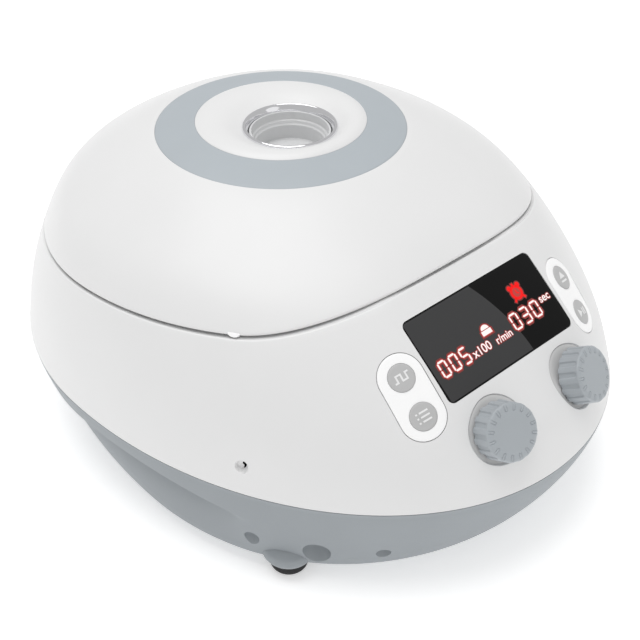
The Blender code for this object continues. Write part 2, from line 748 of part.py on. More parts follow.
def hinge_outline(near, above):
    """A leaf along the skin that runs into the hinge barrel, as (y, z) points."""
    away = [(y + HINGE_LEAF, z) for y, z in near]
    turn = math.pi / 8.0
    barrel = []
    first = -6 if above else -4
    for k in range(first, first + 11):
        angle = k * turn
        barrel.append((HINGE.y + HINGE_BARREL_R * math.cos(angle),
                       HINGE.z + HINGE_BARREL_R * math.sin(angle)))
    if above:
        return near[::-1] + barrel + away[2:]
    return near + barrel[::-1] + away[:-2][::-1]


# ---- Chamber, rotor and drive ----------------------------------------------------------

def make_chamber():
    chamber = Matrix.Translation(CHAMBER)
    turned("chamber_bowl", [(9.0, 46.2), (70.0, 46.2), (80.0, 50.2), (84.2, 58.0), (84.2, 89.2),
                            (86.3, 89.2), (86.3, 90.7), (83.0, 90.7), (83.0, 58.4), (79.2, 51.2),
                            (69.7, 47.5), (9.0, 47.5)], STEEL, chamber, 32)
    turned("chamber_gasket", [(82.8, DECK_Z + GAP), (85.6, DECK_Z + GAP), (85.2, DECK_Z + 2.3),
                              (83.4, DECK_Z + 2.3)], SEAL, chamber, 32)
    turned("motor_can", [(9.3, 16.0), (33.0, 16.0), (34.0, 17.0), (34.0, 40.0), (33.0, 41.0),
                         (9.3, 41.0), (9.3, 34.5), (28.5, 34.5), (28.5, 22.5), (9.3, 22.5)],
           STEEL, chamber, 24)
    turned("motor_mount_plate", [(10.0, 41.3), (46.0, 41.3), (46.0, 43.8), (10.0, 43.8)],
           ALUMINIUM, chamber, 24)
    for index in range(3):
        angle = math.pi / 2.0 + index * 2.0 * math.pi / 3.0
        place = CHAMBER + Vector((40.0 * math.cos(angle), 40.0 * math.sin(angle), 0.0))
        turned(f"motor_damper_{index + 1}", [(4.5, FLOOR_Z + SKIN + GAP), (4.5, 20.0), (3.4, 24.0),
                                             (3.4, 30.0), (4.5, 34.0), (4.5, 41.0)],
               RUBBER, Matrix.Translation(place), 12, bored=False)
    for word, low in (("lower", 16.5), ("upper", 35.0)):
        turned(f"shaft_bearing_{word}", [(BORE_R, low), (9.0, low), (9.0, low + 5.5),
                                         (BORE_R, low + 5.5)], STEEL, chamber, 16)


def make_rotor(axis):
    """The angle rotor with its tube wells, the nut, the shaft and the motor's magnet ring."""
    chamber = Matrix.Translation(CHAMBER)
    rotor = turned("rotor", [(BORE_R, ROTOR_BOTTOM - 0.5), (15.0, ROTOR_BOTTOM - 0.5),
                             (15.0, 57.0), (38.0, 57.0), (50.0, ROTOR_BOTTOM),
                             (72.0, ROTOR_BOTTOM), (ROTOR_R, 54.0), (ROTOR_R, 88.5),
                             (73.5, ROTOR_RIM_Z), (68.0, ROTOR_RIM_Z), (30.0, 66.0),
                             (15.0, 66.0), (14.0, 70.0), (BORE_R, 70.0)],
                   ALUMINIUM, chamber, 32, parent=axis)
    wells = []
    for index in range(ROTOR_TUBES):
        angle = 2.0 * math.pi * (index + 0.5) / ROTOR_TUBES
        outward = Vector((math.cos(angle), math.sin(angle), 0.0))
        mouth = CHAMBER + outward * TUBE_MOUTH[0] + Vector((0.0, 0.0, TUBE_MOUTH[1]))
        up = Vector((0.0, 0.0, math.cos(TUBE_TILT))) - outward * math.sin(TUBE_TILT)
        wells.append(turned("well", [(3.0, -TUBE_DEPTH), (TUBE_R, -TUBE_DEPTH + 3.0),
                                     (TUBE_R, 12.0)], BLACK, frame_at(mouth, up), 10,
                            bored=False))
    combine(rotor, joined("tube_wells", wells))
    turned("rotor_nut", [(BORE_R, 76.0), (BORE_R, 70.3), (12.0, 70.3), (12.0, 79.0),
                         (10.0, 81.5)], ALUMINIUM, chamber, 20, bored=False, parent=axis)
    turned("drive_shaft", [(SHAFT_R, 14.0), (SHAFT_R, 75.5)], STEEL, chamber, 20, bored=False,
           parent=axis)
    turned("motor_rotor", [(BORE_R, 24.0), (26.0, 24.0), (26.0, 33.0), (BORE_R, 33.0)], STEEL,
           chamber, 20, parent=axis)


# ---- Latch, electronics and the back ---------------------------------------------------


def make_latch(lid_axis, housing_cutters):
    """A striker under the lid, and the bolt, its guide and its solenoid under the deck."""
    along_x = frame_at((0.0, LATCH_Y, LATCH_Z), (1.0, 0.0, 0.0))
    housing_cutters.append(box("cut", (-1.8, LATCH_Y - 3.1, DECK_Z - 6.0),
                               (1.8, LATCH_Y + 3.1, DECK_Z + 6.0), BLACK))
    striker = box("lid_striker", (-1.0, LATCH_Y - 2.3, LATCH_Z - 3.6),
                  (1.0, LATCH_Y + 2.3, LINER_Z - GAP), STEEL, parent=lid_axis)
    catch = box("cut", (-4.0, LATCH_Y - 1.3, LATCH_Z - 1.6), (4.0, LATCH_Y + 1.3, LATCH_Z + 1.6),
                BLACK)
    combine(striker, joined("striker_catch", [catch]))
    guide = box("latch_guide", (-12.0, LATCH_Y - 4.0, LATCH_Z - 4.0),
                (-4.0, LATCH_Y + 4.0, LATCH_Z + 5.5), STEEL)
    bore = turned("bore", [(1.3, -20.0), (1.3, 0.0)], BLACK, along_x, 12, bored=False)
    combine(guide, joined("guide_bore", [bore]))
    turned("latch_solenoid", [(1.3, -32.0), (5.0, -32.0), (5.0, -14.5), (1.3, -14.5)], BLACK,
           along_x, 16)
    bolt_axis = pivot("latch_bolt_axis", (0.0, LATCH_Y, LATCH_Z))
    turned("latch_bolt", [(1.0, -30.0), (1.0, -2.4)], STEEL, along_x, 10, bored=False,
           parent=bolt_axis)


def make_back(housing_cutters):
    """A recessed tray at the back that carries the mains inlet and the power switch."""
    half = REAR_WIDTH / 2.0
    housing_cutters.append(box("cut", (-half - GAP, 120.0, REAR_LOW - GAP),
                               (half + GAP, 170.0, REAR_HIGH + GAP), BLACK))
    tray = box("rear_panel", (-half, REAR_Y, REAR_LOW), (half, 170.0, REAR_HIGH), GREY)
    hollow = box("cut", (-half + REAR_WALL, REAR_Y + 2.5, REAR_LOW + REAR_WALL),
                 (half - REAR_WALL, 171.0, REAR_HIGH - REAR_WALL), BLACK)
    inlet_hole = box("cut", (-24.0, REAR_Y - 5.0, 58.8), (4.0, REAR_Y + 2.8, 79.2), BLACK)
    switch_hole = box("cut", (10.0, REAR_Y - 5.0, 58.8), (24.0, REAR_Y + 2.8, 79.2), BLACK)
    steps = 8
    body = loft("cut", [[egg_point(angle, REAR_LOW - 4.0 + (REAR_HIGH - REAR_LOW + 8.0) * k / steps)
                         for angle in ANGLES] for k in range(steps + 1)], BLACK)
    combine(tray, joined("tray_openings", [hollow]))
    combine(tray, joined("tray_holes", [inlet_hole, switch_hole]))
    combine(tray, joined("egg_body", [body]), "INTERSECT")

    inlet = box("power_inlet", (-24.0 + GAP, REAR_Y - 20.0, 58.8 + GAP),
                (4.0 - GAP, REAR_Y + 4.5, 79.2 - GAP), BLACK)
    socket = box("cut", (-21.5, REAR_Y - 12.0, 61.5), (1.5, REAR_Y + 6.0, 76.5), BLACK)
    combine(inlet, joined("inlet_socket", [socket]))
    frame = box("switch_frame", (10.0 + GAP, REAR_Y - 14.0, 58.8 + GAP),
                (24.0 - GAP, REAR_Y + 4.0, 79.2 - GAP), BLACK)
    hollow = box("cut", (12.0, REAR_Y - 8.0, 60.8), (22.0, REAR_Y + 6.0, 77.2), BLACK)
    combine(frame, joined("switch_opening", [hollow]))
    rocker_axis = pivot("power_rocker_axis", (17.0, REAR_Y + 1.0, 69.0))
    outline = [(-4.5, -7.2), (5.4, -7.2), (3.2, 0.0), (4.2, 7.2), (-4.5, 7.2)]
    rows = [[Vector((x, REAR_Y + 1.0 + y, 69.0 + z)) for y, z in outline] for x in (12.4, 21.6)]
    loft("power_rocker", rows, BLACK, origin=rocker_axis.location / MM, parent=rocker_axis)


def make_electronics():
    """The control board on the floor, the power supply, the motor's cable and the screws."""
    box("control_board", (-50.0, -108.0, 16.0), (50.0, -64.0, 17.6), BOARD)
    box("power_supply", (-94.0, -20.0, FLOOR_Z + SKIN + GAP), (-54.0, 52.0, 36.0), STEEL, 2.0)
    route = ((0.0, -15.8, 25.0), (3.0, -26.0, 24.0), (3.0, -40.0, 21.0), (0.0, -54.0, 18.0),
             (0.0, -63.7, 17.0))
    curve = bpy.data.curves.new("motor_cable", "CURVE")
    curve.dimensions = "3D"
    curve.bevel_depth = 2.0 * MM
    curve.bevel_resolution = 2
    curve.use_fill_caps = True
    spline = curve.splines.new("POLY")
    spline.points.add(len(route) - 1)
    for point, place in zip(spline.points, route):
        point.co = (*(Vector(place) * MM), 1.0)
    curve.materials.append(RUBBER)
    cable = bpy.data.objects.new("motor_cable", curve)
    bpy.context.scene.collection.objects.link(cable)
    seat = GAP - SCREW_WELL[4]
    for index, side in enumerate((1, -1)):
        turned(f"housing_screw_{index + 1}", [(SCREW_HEAD_R, seat + SCREW_HEAD_HEIGHT), (SCREW_HEAD_R, seat),
                                              (SCREW_SHANK_R, seat), (SCREW_SHANK_R, seat - SCREW_LENGTH)],
               STEEL, well_frame(SCREW_WELL, side), 10, bored=False)


# ---- The machine -----------------------------------------------------------------------

lid_axis = pivot("lid_axis", HINGE)
rotor_axis = pivot("rotor_axis", CHAMBER + Vector((0.0, 0.0, 60.0)))
make_base()
housing, openings = make_housing()
make_panel()
make_lid(lid_axis)
make_hinge(lid_axis)
make_chamber()
make_rotor(rotor_axis)
make_latch(lid_axis, openings)
make_back(openings)
make_electronics()
for order, opening in enumerate(openings):
    combine(housing, joined(f"housing_opening_{order + 1}", [opening]))
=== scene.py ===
"""The looks of a bench-top laboratory centrifuge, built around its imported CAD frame.

Shapes are worked out in millimetres in the frame's own axes (X right, -Y front, +Z up)
and become metres when each mesh is made.
"""

import math

import bmesh
import bpy
import numpy as np
from mathutils import Matrix, Vector


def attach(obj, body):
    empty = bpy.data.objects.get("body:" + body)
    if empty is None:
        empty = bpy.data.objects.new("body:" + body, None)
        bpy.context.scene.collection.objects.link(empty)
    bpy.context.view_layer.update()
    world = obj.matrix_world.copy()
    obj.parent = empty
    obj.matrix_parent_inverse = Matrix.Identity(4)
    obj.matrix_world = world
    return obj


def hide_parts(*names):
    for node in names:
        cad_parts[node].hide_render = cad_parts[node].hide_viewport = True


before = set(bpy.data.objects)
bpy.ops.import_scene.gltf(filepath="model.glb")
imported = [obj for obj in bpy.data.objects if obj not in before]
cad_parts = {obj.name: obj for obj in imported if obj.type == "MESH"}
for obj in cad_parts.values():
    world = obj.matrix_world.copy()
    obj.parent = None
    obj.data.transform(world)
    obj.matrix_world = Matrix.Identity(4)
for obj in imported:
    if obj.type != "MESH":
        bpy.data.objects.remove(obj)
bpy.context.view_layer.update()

MM = 0.001
GAP = 0.3  # between pieces that fit into each other
AROUND = 320  # points round the egg

# ---- Driving dimensions ------------------------------------------------------------------
# Most repeat the CAD's. The knob recess, the wells' depth and the screw pocket differ a little.

# Height, half width, reach forward and back of its middle, and the middle's y, per section.
EGG_SECTIONS = np.array([
    (50.0, 132.2, 175.1, 136.7, 19.2),
    (67.4, 129.3, 168.7, 130.4, 20.0),
    (84.7, 124.9, 156.5, 122.9, 21.1),
    (102.0, 117.9, 138.9, 114.0, 22.2),
    (117.4, 106.9, 118.7, 105.5, 23.2),
    (130.9, 85.9, 91.4, 86.7, 24.1),
    (142.4, 59.8, 59.8, 59.8, 24.9),
    (145.9, 40.5, 40.5, 40.5, 24.9),
])
EGG_POWER = 2.03
SKIN = 2.5
SKIN_SEARCH = 12.0  # how far from a local frame the skin may lie
PANEL_TILT = math.radians(37.4)
PANEL_ORIGIN = Vector((0.0, -109.7, 100.1))
PANEL_CREASE = 1.0
LID_PROUD = 2.0
LID_CREASE = 4.0
PARTING_Z = 50.0
SEAM_GAP = 1.4
# The seam's height where y is 0, its fall per millimetre of y, and how it curls up at the front.
SEAM_Z = 106.6
SEAM_LEAN = 0.066
SEAM_CURL = 0.0071
SEAM_TURN_Y = -52.0
SEAM_BETWEEN = (90.0, 128.0)
CHAMBER = Vector((0.0, 18.5, 0.0))
DECK_Z = 96.0
DECK_THICK = 2.5
CHAMBER_R = 82.0
COLLAR_Z = 91.0
RIM_LAND = 3.0
RIM_LEAN = 0.2
FLOOR_Z = 9.3
BASE_FLOOR = (120.9, 122.0, 150.0, -15.8)
FLOOR_POWER = 2.07
WALL_POWER = 1.28
GRIP_DEPTH = 13.5
GRIP_RAMP = 2.0
GRIP_FADE = 11.0
GRIP_Z = 42.5
GRIP_DROP = 8.5
GRIP_MIDDLE_Y = -6.0
GRIP_REACH = 68.0
FOOT_PLACES = ((-93.6, -84.6), (93.6, -84.6), (-78.0, 96.0), (78.0, 96.0))
# Turned profiles list (radius, height).
BOSS_PROFILE = [(9.2, 7.4), (10.6, 7.7), (12.3, 10.2), (11.6, 13.6), (8.6, 16.4), (3.0, 18.0)]
FOOT_PROFILE = [(4.6, 0.0), (4.6, 0.5), (5.2, 0.5), (5.2, 0.0), (6.8, 0.0), (8.2, 1.1), (8.9, 3.2),
                (9.0, 7.9)]
FOOT_SOFTENING = [0.2, 0.2, 0.2, 0.2, 0.8, 1.0, 1.0, 0.2]
# Round wells in the base's front corners, which slant up and inwards: the middle of the mouth
# (x, y, z), the radius, the CAD's depth and the compass heading in degrees. The depth only says
# where the screw pocket in the middle well starts: a well here is WELL_DEPTH radii deep.
WELLS = ((-108.1, -77.1, 21.5, 3.5, 7.0, 210.0),
         (-91.9, -101.0, 19.8, 6.2, 12.0, 221.0),
         (-71.6, -121.2, 20.3, 3.3, 7.0, 229.0))
WELL_TILT = math.radians(35.0)
WELL_WALL = 2.0
WELL_DEPTH = 0.95
SLEEVE_REACH = 4.0
SCREW_POCKET_R = 4.2
HINGE = Vector((0.0, 143.6, 98.0))
HINGE_PIN_R = 1.7
HINGE_BORE_R = 2.0
HINGE_BARREL_R = 4.2
DISPLAY_SIZE = (79.2, 38.2)
CLOCK = (22.0, 5.7)
BUTTON_X = 51.7
BUTTON_Y = (-107.4, -120.4)
BUTTON_R = 5.85
PLATE_R = 10.0
KNOB_BASE = Vector((25.3, -138.9, 75.1))
KNOB_AXIS = Vector((0.18, -0.82, 0.54)).normalized()
KNOB_R = 12.65
KNOB_HEIGHT = 10.2
KNOB_SEAT_R = 14.6
FLUTES = 16
KNOB_TWIST = math.radians(-8.0)
CHAMFER = 1.1
KNOB_DRAFT = 0.35
VALLEY_DEPTH = 0.65
SCALLOP_DEPTH = 0.14
GROOVE_DEPTH = 0.32
MARK_R = 9.6
RELEASE_PORT = Vector((-109.4, -74.2, 62.7))
RELEASE_AXIS = Vector((-0.75, -0.62, 0.2))
SEAM_TAB = Vector((-92.1, -51.8, 110.4))
RELEASE_HOLE = Matrix.Translation((1.3, 0.7, 0.0))
WINDOW_HOLE_R = 21.8
LINER_Z = 98.7
TUBES = 12
TUBE_CIRCLE_R = 47.0
TUBE_MOUTH_Z = 76.9
NUT_RIBS = 12
NUT_RIB_CIRCLE_R = 12.4
REAR_LOW, REAR_HIGH, REAR_Y = 55.0, 83.0, 137.5


# ---- Materials -------------------------------------------------------------------------

def node_output(tree, kind, output, inputs, **settings):
    """An output of a new shader node; each input is given a value or another node's output."""
    node = tree.nodes.new(kind)
    for key, value in settings.items():
        setattr(node, key, value)
    for key, value in inputs.items():
        if isinstance(value, bpy.types.NodeSocket):
            tree.links.new(value, node.inputs[key])
        else:
            node.inputs[key].default_value = value
    return node.outputs[output]


def mixed(tree, factor, first, second):
    """A blend from a first colour, which may be another node's, to a second one."""
    return node_output(tree, "ShaderNodeMix", "Result", {"Factor": factor, "A": first, "B": second},
                       data_type="RGBA")


def surface(name, colour, roughness, metallic=0.0, grain=(2500.0, 0.02), mottle=0.03, rough_vary=0.06,
            wear=0.0, transmission=0.0, stretch=(1.0, 1.0, 1.0), ior=1.46):
    """A Principled material with grain, colour and roughness variation, and worn edges."""
    made = bpy.data.materials.new(name)
    made.use_nodes = True
    tree = made.node_tree
    shader = tree.nodes["Principled BSDF"]
    for key, value in (("Metallic", metallic), ("IOR", ior), ("Transmission Weight", transmission)):
        shader.inputs[key].default_value = value
    coords = node_output(tree, "ShaderNodeTexCoord", "Object", {})
    scaled = node_output(tree, "ShaderNodeMapping", "Vector", {"Scale": stretch, "Vector": coords})

    def noise(scale, detail):
        return node_output(tree, "ShaderNodeTexNoise", "Fac",
                           {"Scale": scale, "Detail": detail, "Vector": scaled})

    def spread(source, low, high, start=0.3, end=0.7):
        return node_output(tree, "ShaderNodeMapRange", "Result",
                           {"From Min": start, "From Max": end, "To Min": low, "To Max": high,
                            "Value": source})

    fine = noise(grain[0], 3.0)
    darker = [c * (1.0 - mottle) for c in colour]
    shade = mixed(tree, spread(noise(38.0, 4.0), 0.0, 1.0), (*colour, 1.0), (*darker, 1.0))
    if wear:
        edges = node_output(tree, "ShaderNodeNewGeometry", "Pointiness", {})
        paler = [min(1.0, c * 1.35 + 0.04) for c in colour]
        shade = mixed(tree, spread(edges, 0.0, wear, 0.52, 0.62), shade, (*paler, 1.0))
    tree.links.new(shade, shader.inputs["Base Color"])
    tree.links.new(spread(fine, roughness - rough_vary, roughness + rough_vary),
                   shader.inputs["Roughness"])
    bump = node_output(tree, "ShaderNodeBump", "Normal",
                       {"Distance": grain[1] * MM, "Strength": 0.6, "Height": fine})
    tree.links.new(bump, shader.inputs["Normal"])
    return made


def glow(name, colour, strength):
    """A lit display element, with the slight unevenness of its segments."""
    made = surface(name, tuple(0.03 * c for c in colour), 0.4, mottle=0.1)
    shader = made.node_tree.nodes["Principled BSDF"]
    shader.inputs["Emission Color"].default_value = (*colour, 1.0)
    shader.inputs["Emission Strength"].default_value = strength
    return made


WHITE = surface("white_shell", (0.80, 0.80, 0.80), 0.40, grain=(2200.0, 0.012), mottle=0.012, wear=0.1)
GREY = surface("base_grey", (0.30, 0.325, 0.345), 0.50, grain=(1800.0, 0.02), mottle=0.04, wear=0.2)
RING = surface("ring_grey", (0.44, 0.48, 0.51), 0.50, grain=(1900.0, 0.018), mottle=0.03, wear=0.1)
KNOB = surface("knob_grey", (0.40, 0.43, 0.455), 0.42, grain=(2400.0, 0.01), mottle=0.04)
# Painted shade: the grey of the ring laid in each knob recess in place of its shadow.
SEAT_SHADE = surface("seat_shade_grey", (0.57, 0.57, 0.57), 0.55, grain=(2400.0, 0.01), mottle=0.02)
BUTTON = surface("button_grey", (0.52, 0.52, 0.52), 0.5, grain=(2600.0, 0.012), mottle=0.04)
PLATE = surface("plate_white", (1.0, 1.0, 1.0), 0.42, grain=(2600.0, 0.008), mottle=0.008)
MARK = surface("white_mark", (0.85, 0.85, 0.85), 0.5, grain=(3000.0, 0.008))
BLACK = surface("black_plastic", (0.03, 0.03, 0.032), 0.45, grain=(1600.0, 0.03), wear=0.2)
RUBBER = surface("black_rubber", (0.018, 0.018, 0.019), 0.8, grain=(1200.0, 0.05), mottle=0.2, wear=0.4)
SEAL = surface("grey_silicone", (0.33, 0.33, 0.34), 0.65, grain=(1500.0, 0.02), mottle=0.06)
CHROME = surface("chrome", (0.82, 0.82, 0.84), 0.09, 1.0, grain=(900.0, 0.002), mottle=0.02,
                 rough_vary=0.03)
STEEL = surface("brushed_steel", (0.56, 0.56, 0.57), 0.3, 1.0, grain=(160.0, 0.02), mottle=0.06,
                rough_vary=0.1, stretch=(1.0, 1.0, 26.0))
ALUMINIUM = surface("anodised_aluminium", (0.60, 0.61, 0.63), 0.34, 1.0, grain=(240.0, 0.015), mottle=0.05,
                    rough_vary=0.07, wear=0.4, stretch=(1.0, 1.0, 14.0))
NICKEL = surface("nickel_pin", (0.66, 0.64, 0.58), 0.25, 1.0, grain=(900.0, 0.01), mottle=0.05)
BOARD = surface("circuit_board", (0.02, 0.12, 0.05), 0.4, grain=(700.0, 0.03), mottle=0.25)
CLEAR = surface("clear_cup", (0.80, 0.805, 0.81), 0.12, grain=(400.0, 0.002), mottle=0.01,
                rough_vary=0.02, transmission=0.15, ior=1.49)
LIT_WHITE = glow("lit_white", (1.0, 0.93, 0.91), 1.0)
LIT_RED = glow("lit_red", (1.0, 0.0, 0.0), 0.9)
HALO_NEAR = glow("halo_near", (0.60, 0.06, 0.05), 0.8)
HALO_FAR = glow("halo_far", (0.20, 0.03, 0.026), 0.9)


# ---- Meshes ----------------------------------------------------------------------------

SMOOTH = math.radians(32.0)


def finish(name, mesh, look):
    mesh.materials.clear()
    mesh.materials.append(look)
    mesh.shade_smooth()
    mesh.set_sharp_from_angle(angle=SMOOTH)
    made = bpy.data.objects.new(name, mesh)
    bpy.context.scene.collection.objects.link(made)
    return made


def from_bmesh(name, work, look):
    bmesh.ops.recalc_face_normals(work, faces=work.faces)
    work.transform(Matrix.Scale(MM, 4))
    mesh = bpy.data.meshes.new(name)
    work.to_mesh(mesh)
    work.free()
    return finish(name, mesh, look)


def loft(name, rows, look, closed=False):
    """A solid through rows of points; closed joins the last row to the first, as a ring."""
    grid = np.array([[tuple(p) for p in row] for row in rows], float)
    count_rows, count = grid.shape[:2]
    work = bmesh.new()
    verts = [work.verts.new(p) for p in grid.reshape(-1, 3)]
    pairs = [(k, k + 1) for k in range(count_rows - 1)]
    if closed:
        pairs.append((count_rows - 1, 0))
    for a, b in pairs:
        for i in range(count):
            j = (i + 1) % count
            work.faces.new((verts[a * count + i], verts[a * count + j],
                            verts[b * count + j], verts[b * count + i]))
    if not closed:
        work.faces.new(verts[:count])
        work.faces.new(verts[-count:])
    return from_bmesh(name, work, look)


def bake(piece):
    """Apply a piece's modifiers to its mesh."""
    bpy.context.view_layer.update()
    graph = bpy.context.evaluated_depsgraph_get()
    mesh = bpy.data.meshes.new_from_object(piece.evaluated_get(graph))
    old = piece.data
    piece.modifiers.clear()
    piece.data = mesh
    bpy.data.meshes.remove(old)
    mesh.shade_smooth()
    mesh.set_sharp_from_angle(angle=SMOOTH)
    return piece


def combine(piece, other, operation="DIFFERENCE"):
    """A Boolean with a tool solid, which is used up."""
    step = piece.modifiers.new("step", "BOOLEAN")
    step.object = other
    step.operation = operation
    step.solver = "EXACT"
    bake(piece)
    bpy.data.objects.remove(other, do_unlink=True)
    return piece


def bevelled(piece, width, segments=3):
    step = piece.modifiers.new("edges", "BEVEL")
    step.width = width * MM
    step.segments = segments
    step.limit_method = "ANGLE"
    step.angle_limit = math.radians(35.0)
    return bake(piece)


def place(piece, body, slot=None, *nodes):
    """Ride on a body and stand for CAD nodes, which are hidden; the slot is not used."""
    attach(piece, body)
    if nodes:
        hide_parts(*nodes)
    return piece


def frame_at(origin, normal):
    """A local frame on a face: X stays level, Y runs up the slope and Z is the normal."""
    z = Vector(normal).normalized()
    x = Vector((0.0, 0.0, 1.0)).cross(z)
    x = x.normalized() if x.length > 0.01 else Vector((1.0, 0.0, 0.0))
    y = z.cross(x)
    return Matrix.Translation(origin) @ Matrix((x, y, z)).transposed().to_4x4()


UPRIGHT = Matrix.Identity(4)
PANEL = frame_at(PANEL_ORIGIN, (0.0, -math.sin(PANEL_TILT), math.cos(PANEL_TILT)))


def softened(profile, radius, closed, steps=4):
    """An outline with each corner turned into a short arc; radius may be one per corner."""
    points = [Vector(p) for p in profile]
    count = len(points)
    radii = radius if hasattr(radius, "__len__") else [radius] * count
    out = []
    for i, here in enumerate(points):
        if not closed and i in (0, count - 1):
            out.append(tuple(here))
            continue
        before, after = points[i - 1] - here, points[(i + 1) % count] - here
        reach = min(radii[i], 0.45 * before.length, 0.45 * after.length)
        if reach < 0.02:
            out.append(tuple(here))
            continue
        start = here + before.normalized() * reach
        end = here + after.normalized() * reach
        for k in range(steps + 1):
            t = k / steps
            out.append(tuple(start * (1 - t) ** 2 + here * 2 * t * (1 - t) + end * t * t))
    return out


def turned(name, profile, look, where=UPRIGHT, steps=96, bored=True, soft=0.5):
    """A turned piece: profile lists (radius, height), with its corners softened."""
    profile = softened(profile, soft, bored)
    turn = [2.0 * math.pi * i / steps for i in range(steps)]
    rows = [[where @ Vector((r * math.cos(a), r * math.sin(a), h)) for a in turn]
            for r, h in profile]
    return loft(name, rows, look, closed=bored)


def rod(name, radius, low, high, where, steps, look=BLACK):
    """A cylinder along a local frame's Z."""
    return turned(name, [(radius, low), (radius, high)], look, where, steps, bored=False)


def prism(name, outline, low, high, look, where=UPRIGHT):
    """An outline of (x, y) points pushed from one height to another in a local frame."""
    rows = [[where @ Vector((x, y, h)) for x, y in outline] for h in (low, high)]
    return loft(name, rows, look)


def rounded_outline(width, height, corner, steps=8, middle=(0.0, 0.0)):
    points = []
    for quarter, (sx, sy) in enumerate(((1, 1), (-1, 1), (-1, -1), (1, -1))):
        for k in range(steps + 1):
            angle = math.pi / 2.0 * (quarter + k / steps)
            points.append((middle[0] + sx * (width / 2.0 - corner) + corner * math.cos(angle),
                           middle[1] + sy * (height / 2.0 - corner) + corner * math.sin(angle)))
    return points


def box(name, low, high, look, corner=0.0):
    """An upright block between two corners, with its upright edges rounded."""
    outline = [(low[0], low[1]), (high[0], low[1]), (high[0], high[1]), (low[0], high[1])]
    if corner:
        middle = ((low[0] + high[0]) / 2.0, (low[1] + high[1]) / 2.0)
        outline = rounded_outline(high[0] - low[0], high[1] - low[1], corner, 5, middle)
    return prism(name, outline, low[2], high[2], look)


def merged(name, pieces, look):
    """Several solids as one object."""
    work = bmesh.new()
    for piece in pieces:
        work.from_mesh(piece.data)
        bpy.data.objects.remove(piece, do_unlink=True)
    work.transform(Matrix.Scale(1.0 / MM, 4))
    return from_bmesh(name, work, look)


# ---- The egg ---------------------------------------------------------------------------

def natural_spline(knots, values):
    """A smooth curve through values at knots, as a function of a place along it."""
    steps = np.diff(knots)
    count = len(knots)
    system = np.eye(count)
    wanted = np.zeros_like(values)
    for i in range(1, count - 1):
        system[i, i - 1:i + 2] = steps[i - 1], 2.0 * (steps[i - 1] + steps[i]), steps[i]
        wanted[i] = 6.0 * ((values[i + 1] - values[i]) / steps[i]
                           - (values[i] - values[i - 1]) / steps[i - 1])
    bend = np.linalg.solve(system, wanted)

    def at(s):
        s = np.asarray(s, float)
        i = np.clip(np.searchsorted(knots, s) - 1, 0, count - 2)
        ahead = (s - knots[i])[..., None]
        behind = (knots[i + 1] - s)[..., None]
        span = steps[i][..., None]
        return ((bend[i] * behind ** 3 + bend[i + 1] * ahead ** 3) / (6.0 * span)
                + (values[i] / span - bend[i] * span / 6.0) * behind
                + (values[i + 1] / span - bend[i + 1] * span / 6.0) * ahead)

    return at


MEAN_RADIUS = EGG_SECTIONS[:, 1:4].mean(axis=1)
CHORDS = np.hypot(np.diff(EGG_SECTIONS[:, 0]), np.diff(MEAN_RADIUS))
EGG_KNOTS = np.concatenate(([0.0], np.cumsum(CHORDS)))
EGG = natural_spline(EGG_KNOTS, EGG_SECTIONS)
S_TABLE = np.linspace(0.0, EGG_KNOTS[-1], 6000)
Z_TABLE = EGG(S_TABLE)[:, 0]
S_RING, S_CROWN = EGG_KNOTS[-2], EGG_KNOTS[-1]
TURN = 2.0 * np.pi * np.arange(AROUND) / AROUND


def along_egg(z):
    """How far up the egg's side a height lies."""
    return np.interp(z, Z_TABLE, S_TABLE)


def soft_max(a, b, width):
    return width * np.logaddexp(np.asarray(a) / width, np.asarray(b) / width)


def oval(angle, half, front, back, middle, power):
    """Points on a superellipse whose front and back halves reach differently."""
    c, s = np.cos(angle), np.sin(angle)
    x = half * np.sign(c) * np.abs(c) ** (2.0 / power)
    y = middle + np.where(s > 0, back, front) * np.sign(s) * np.abs(s) ** (2.0 / power)
    return x, y


def panel_y(z, proud=0.0):
    rise = (z - PANEL_ORIGIN.z) / math.tan(PANEL_TILT)
    return PANEL_ORIGIN.y + rise - proud / math.sin(PANEL_TILT)


def egg(angle, s, proud=0.0, crease=PANEL_CREASE):
    """Points on the egg, shaved flat at the front by the panel."""
    z, half, front, back, middle = np.moveaxis(EGG(s), -1, 0)
    x, y = oval(angle, half, front, back, middle, EGG_POWER)
    return np.stack((x, soft_max(y, panel_y(z, proud), crease), z), -1)


def halved(low, high, over, steps=36):
    """Where over() turns true between low and high, by repeated halving."""
    for _ in range(steps):
        middle = (low + high) / 2.0
        past = over(middle)
        low, high = np.where(past, low, middle), np.where(past, middle, high)
    return low


def seam_height(y):
    climb = np.maximum(0.0, SEAM_TURN_Y - y)
    return SEAM_Z - SEAM_LEAN * y + SEAM_CURL * climb * climb


def seam(proud, crease):
    """Where the joint between lid and housing crosses the egg, all the way round."""
    def above(s):
        p = egg(TURN, s, proud, crease)
        return p[:, 2] > seam_height(p[:, 1])

    low, high = (np.full(AROUND, along_egg(z)) for z in SEAM_BETWEEN)
    return halved(low, high, above, 40)


def front_skin_y(x, z):
    _, half, front, _, middle = np.moveaxis(EGG(along_egg(z)), -1, 0)
    inside = np.maximum(0.0, 1.0 - (np.abs(x) / half) ** EGG_POWER)
    return soft_max(middle - front * inside ** (1.0 / EGG_POWER), panel_y(z), PANEL_CREASE)


def skin_normal(x, z, step=0.5):
    slope_x = (front_skin_y(x + step, z) - front_skin_y(x - step, z)) / (2.0 * step)
    slope_z = (front_skin_y(x, z + step) - front_skin_y(x, z - step)) / (2.0 * step)
    return Vector((float(slope_x), -1.0, float(slope_z))).normalized()


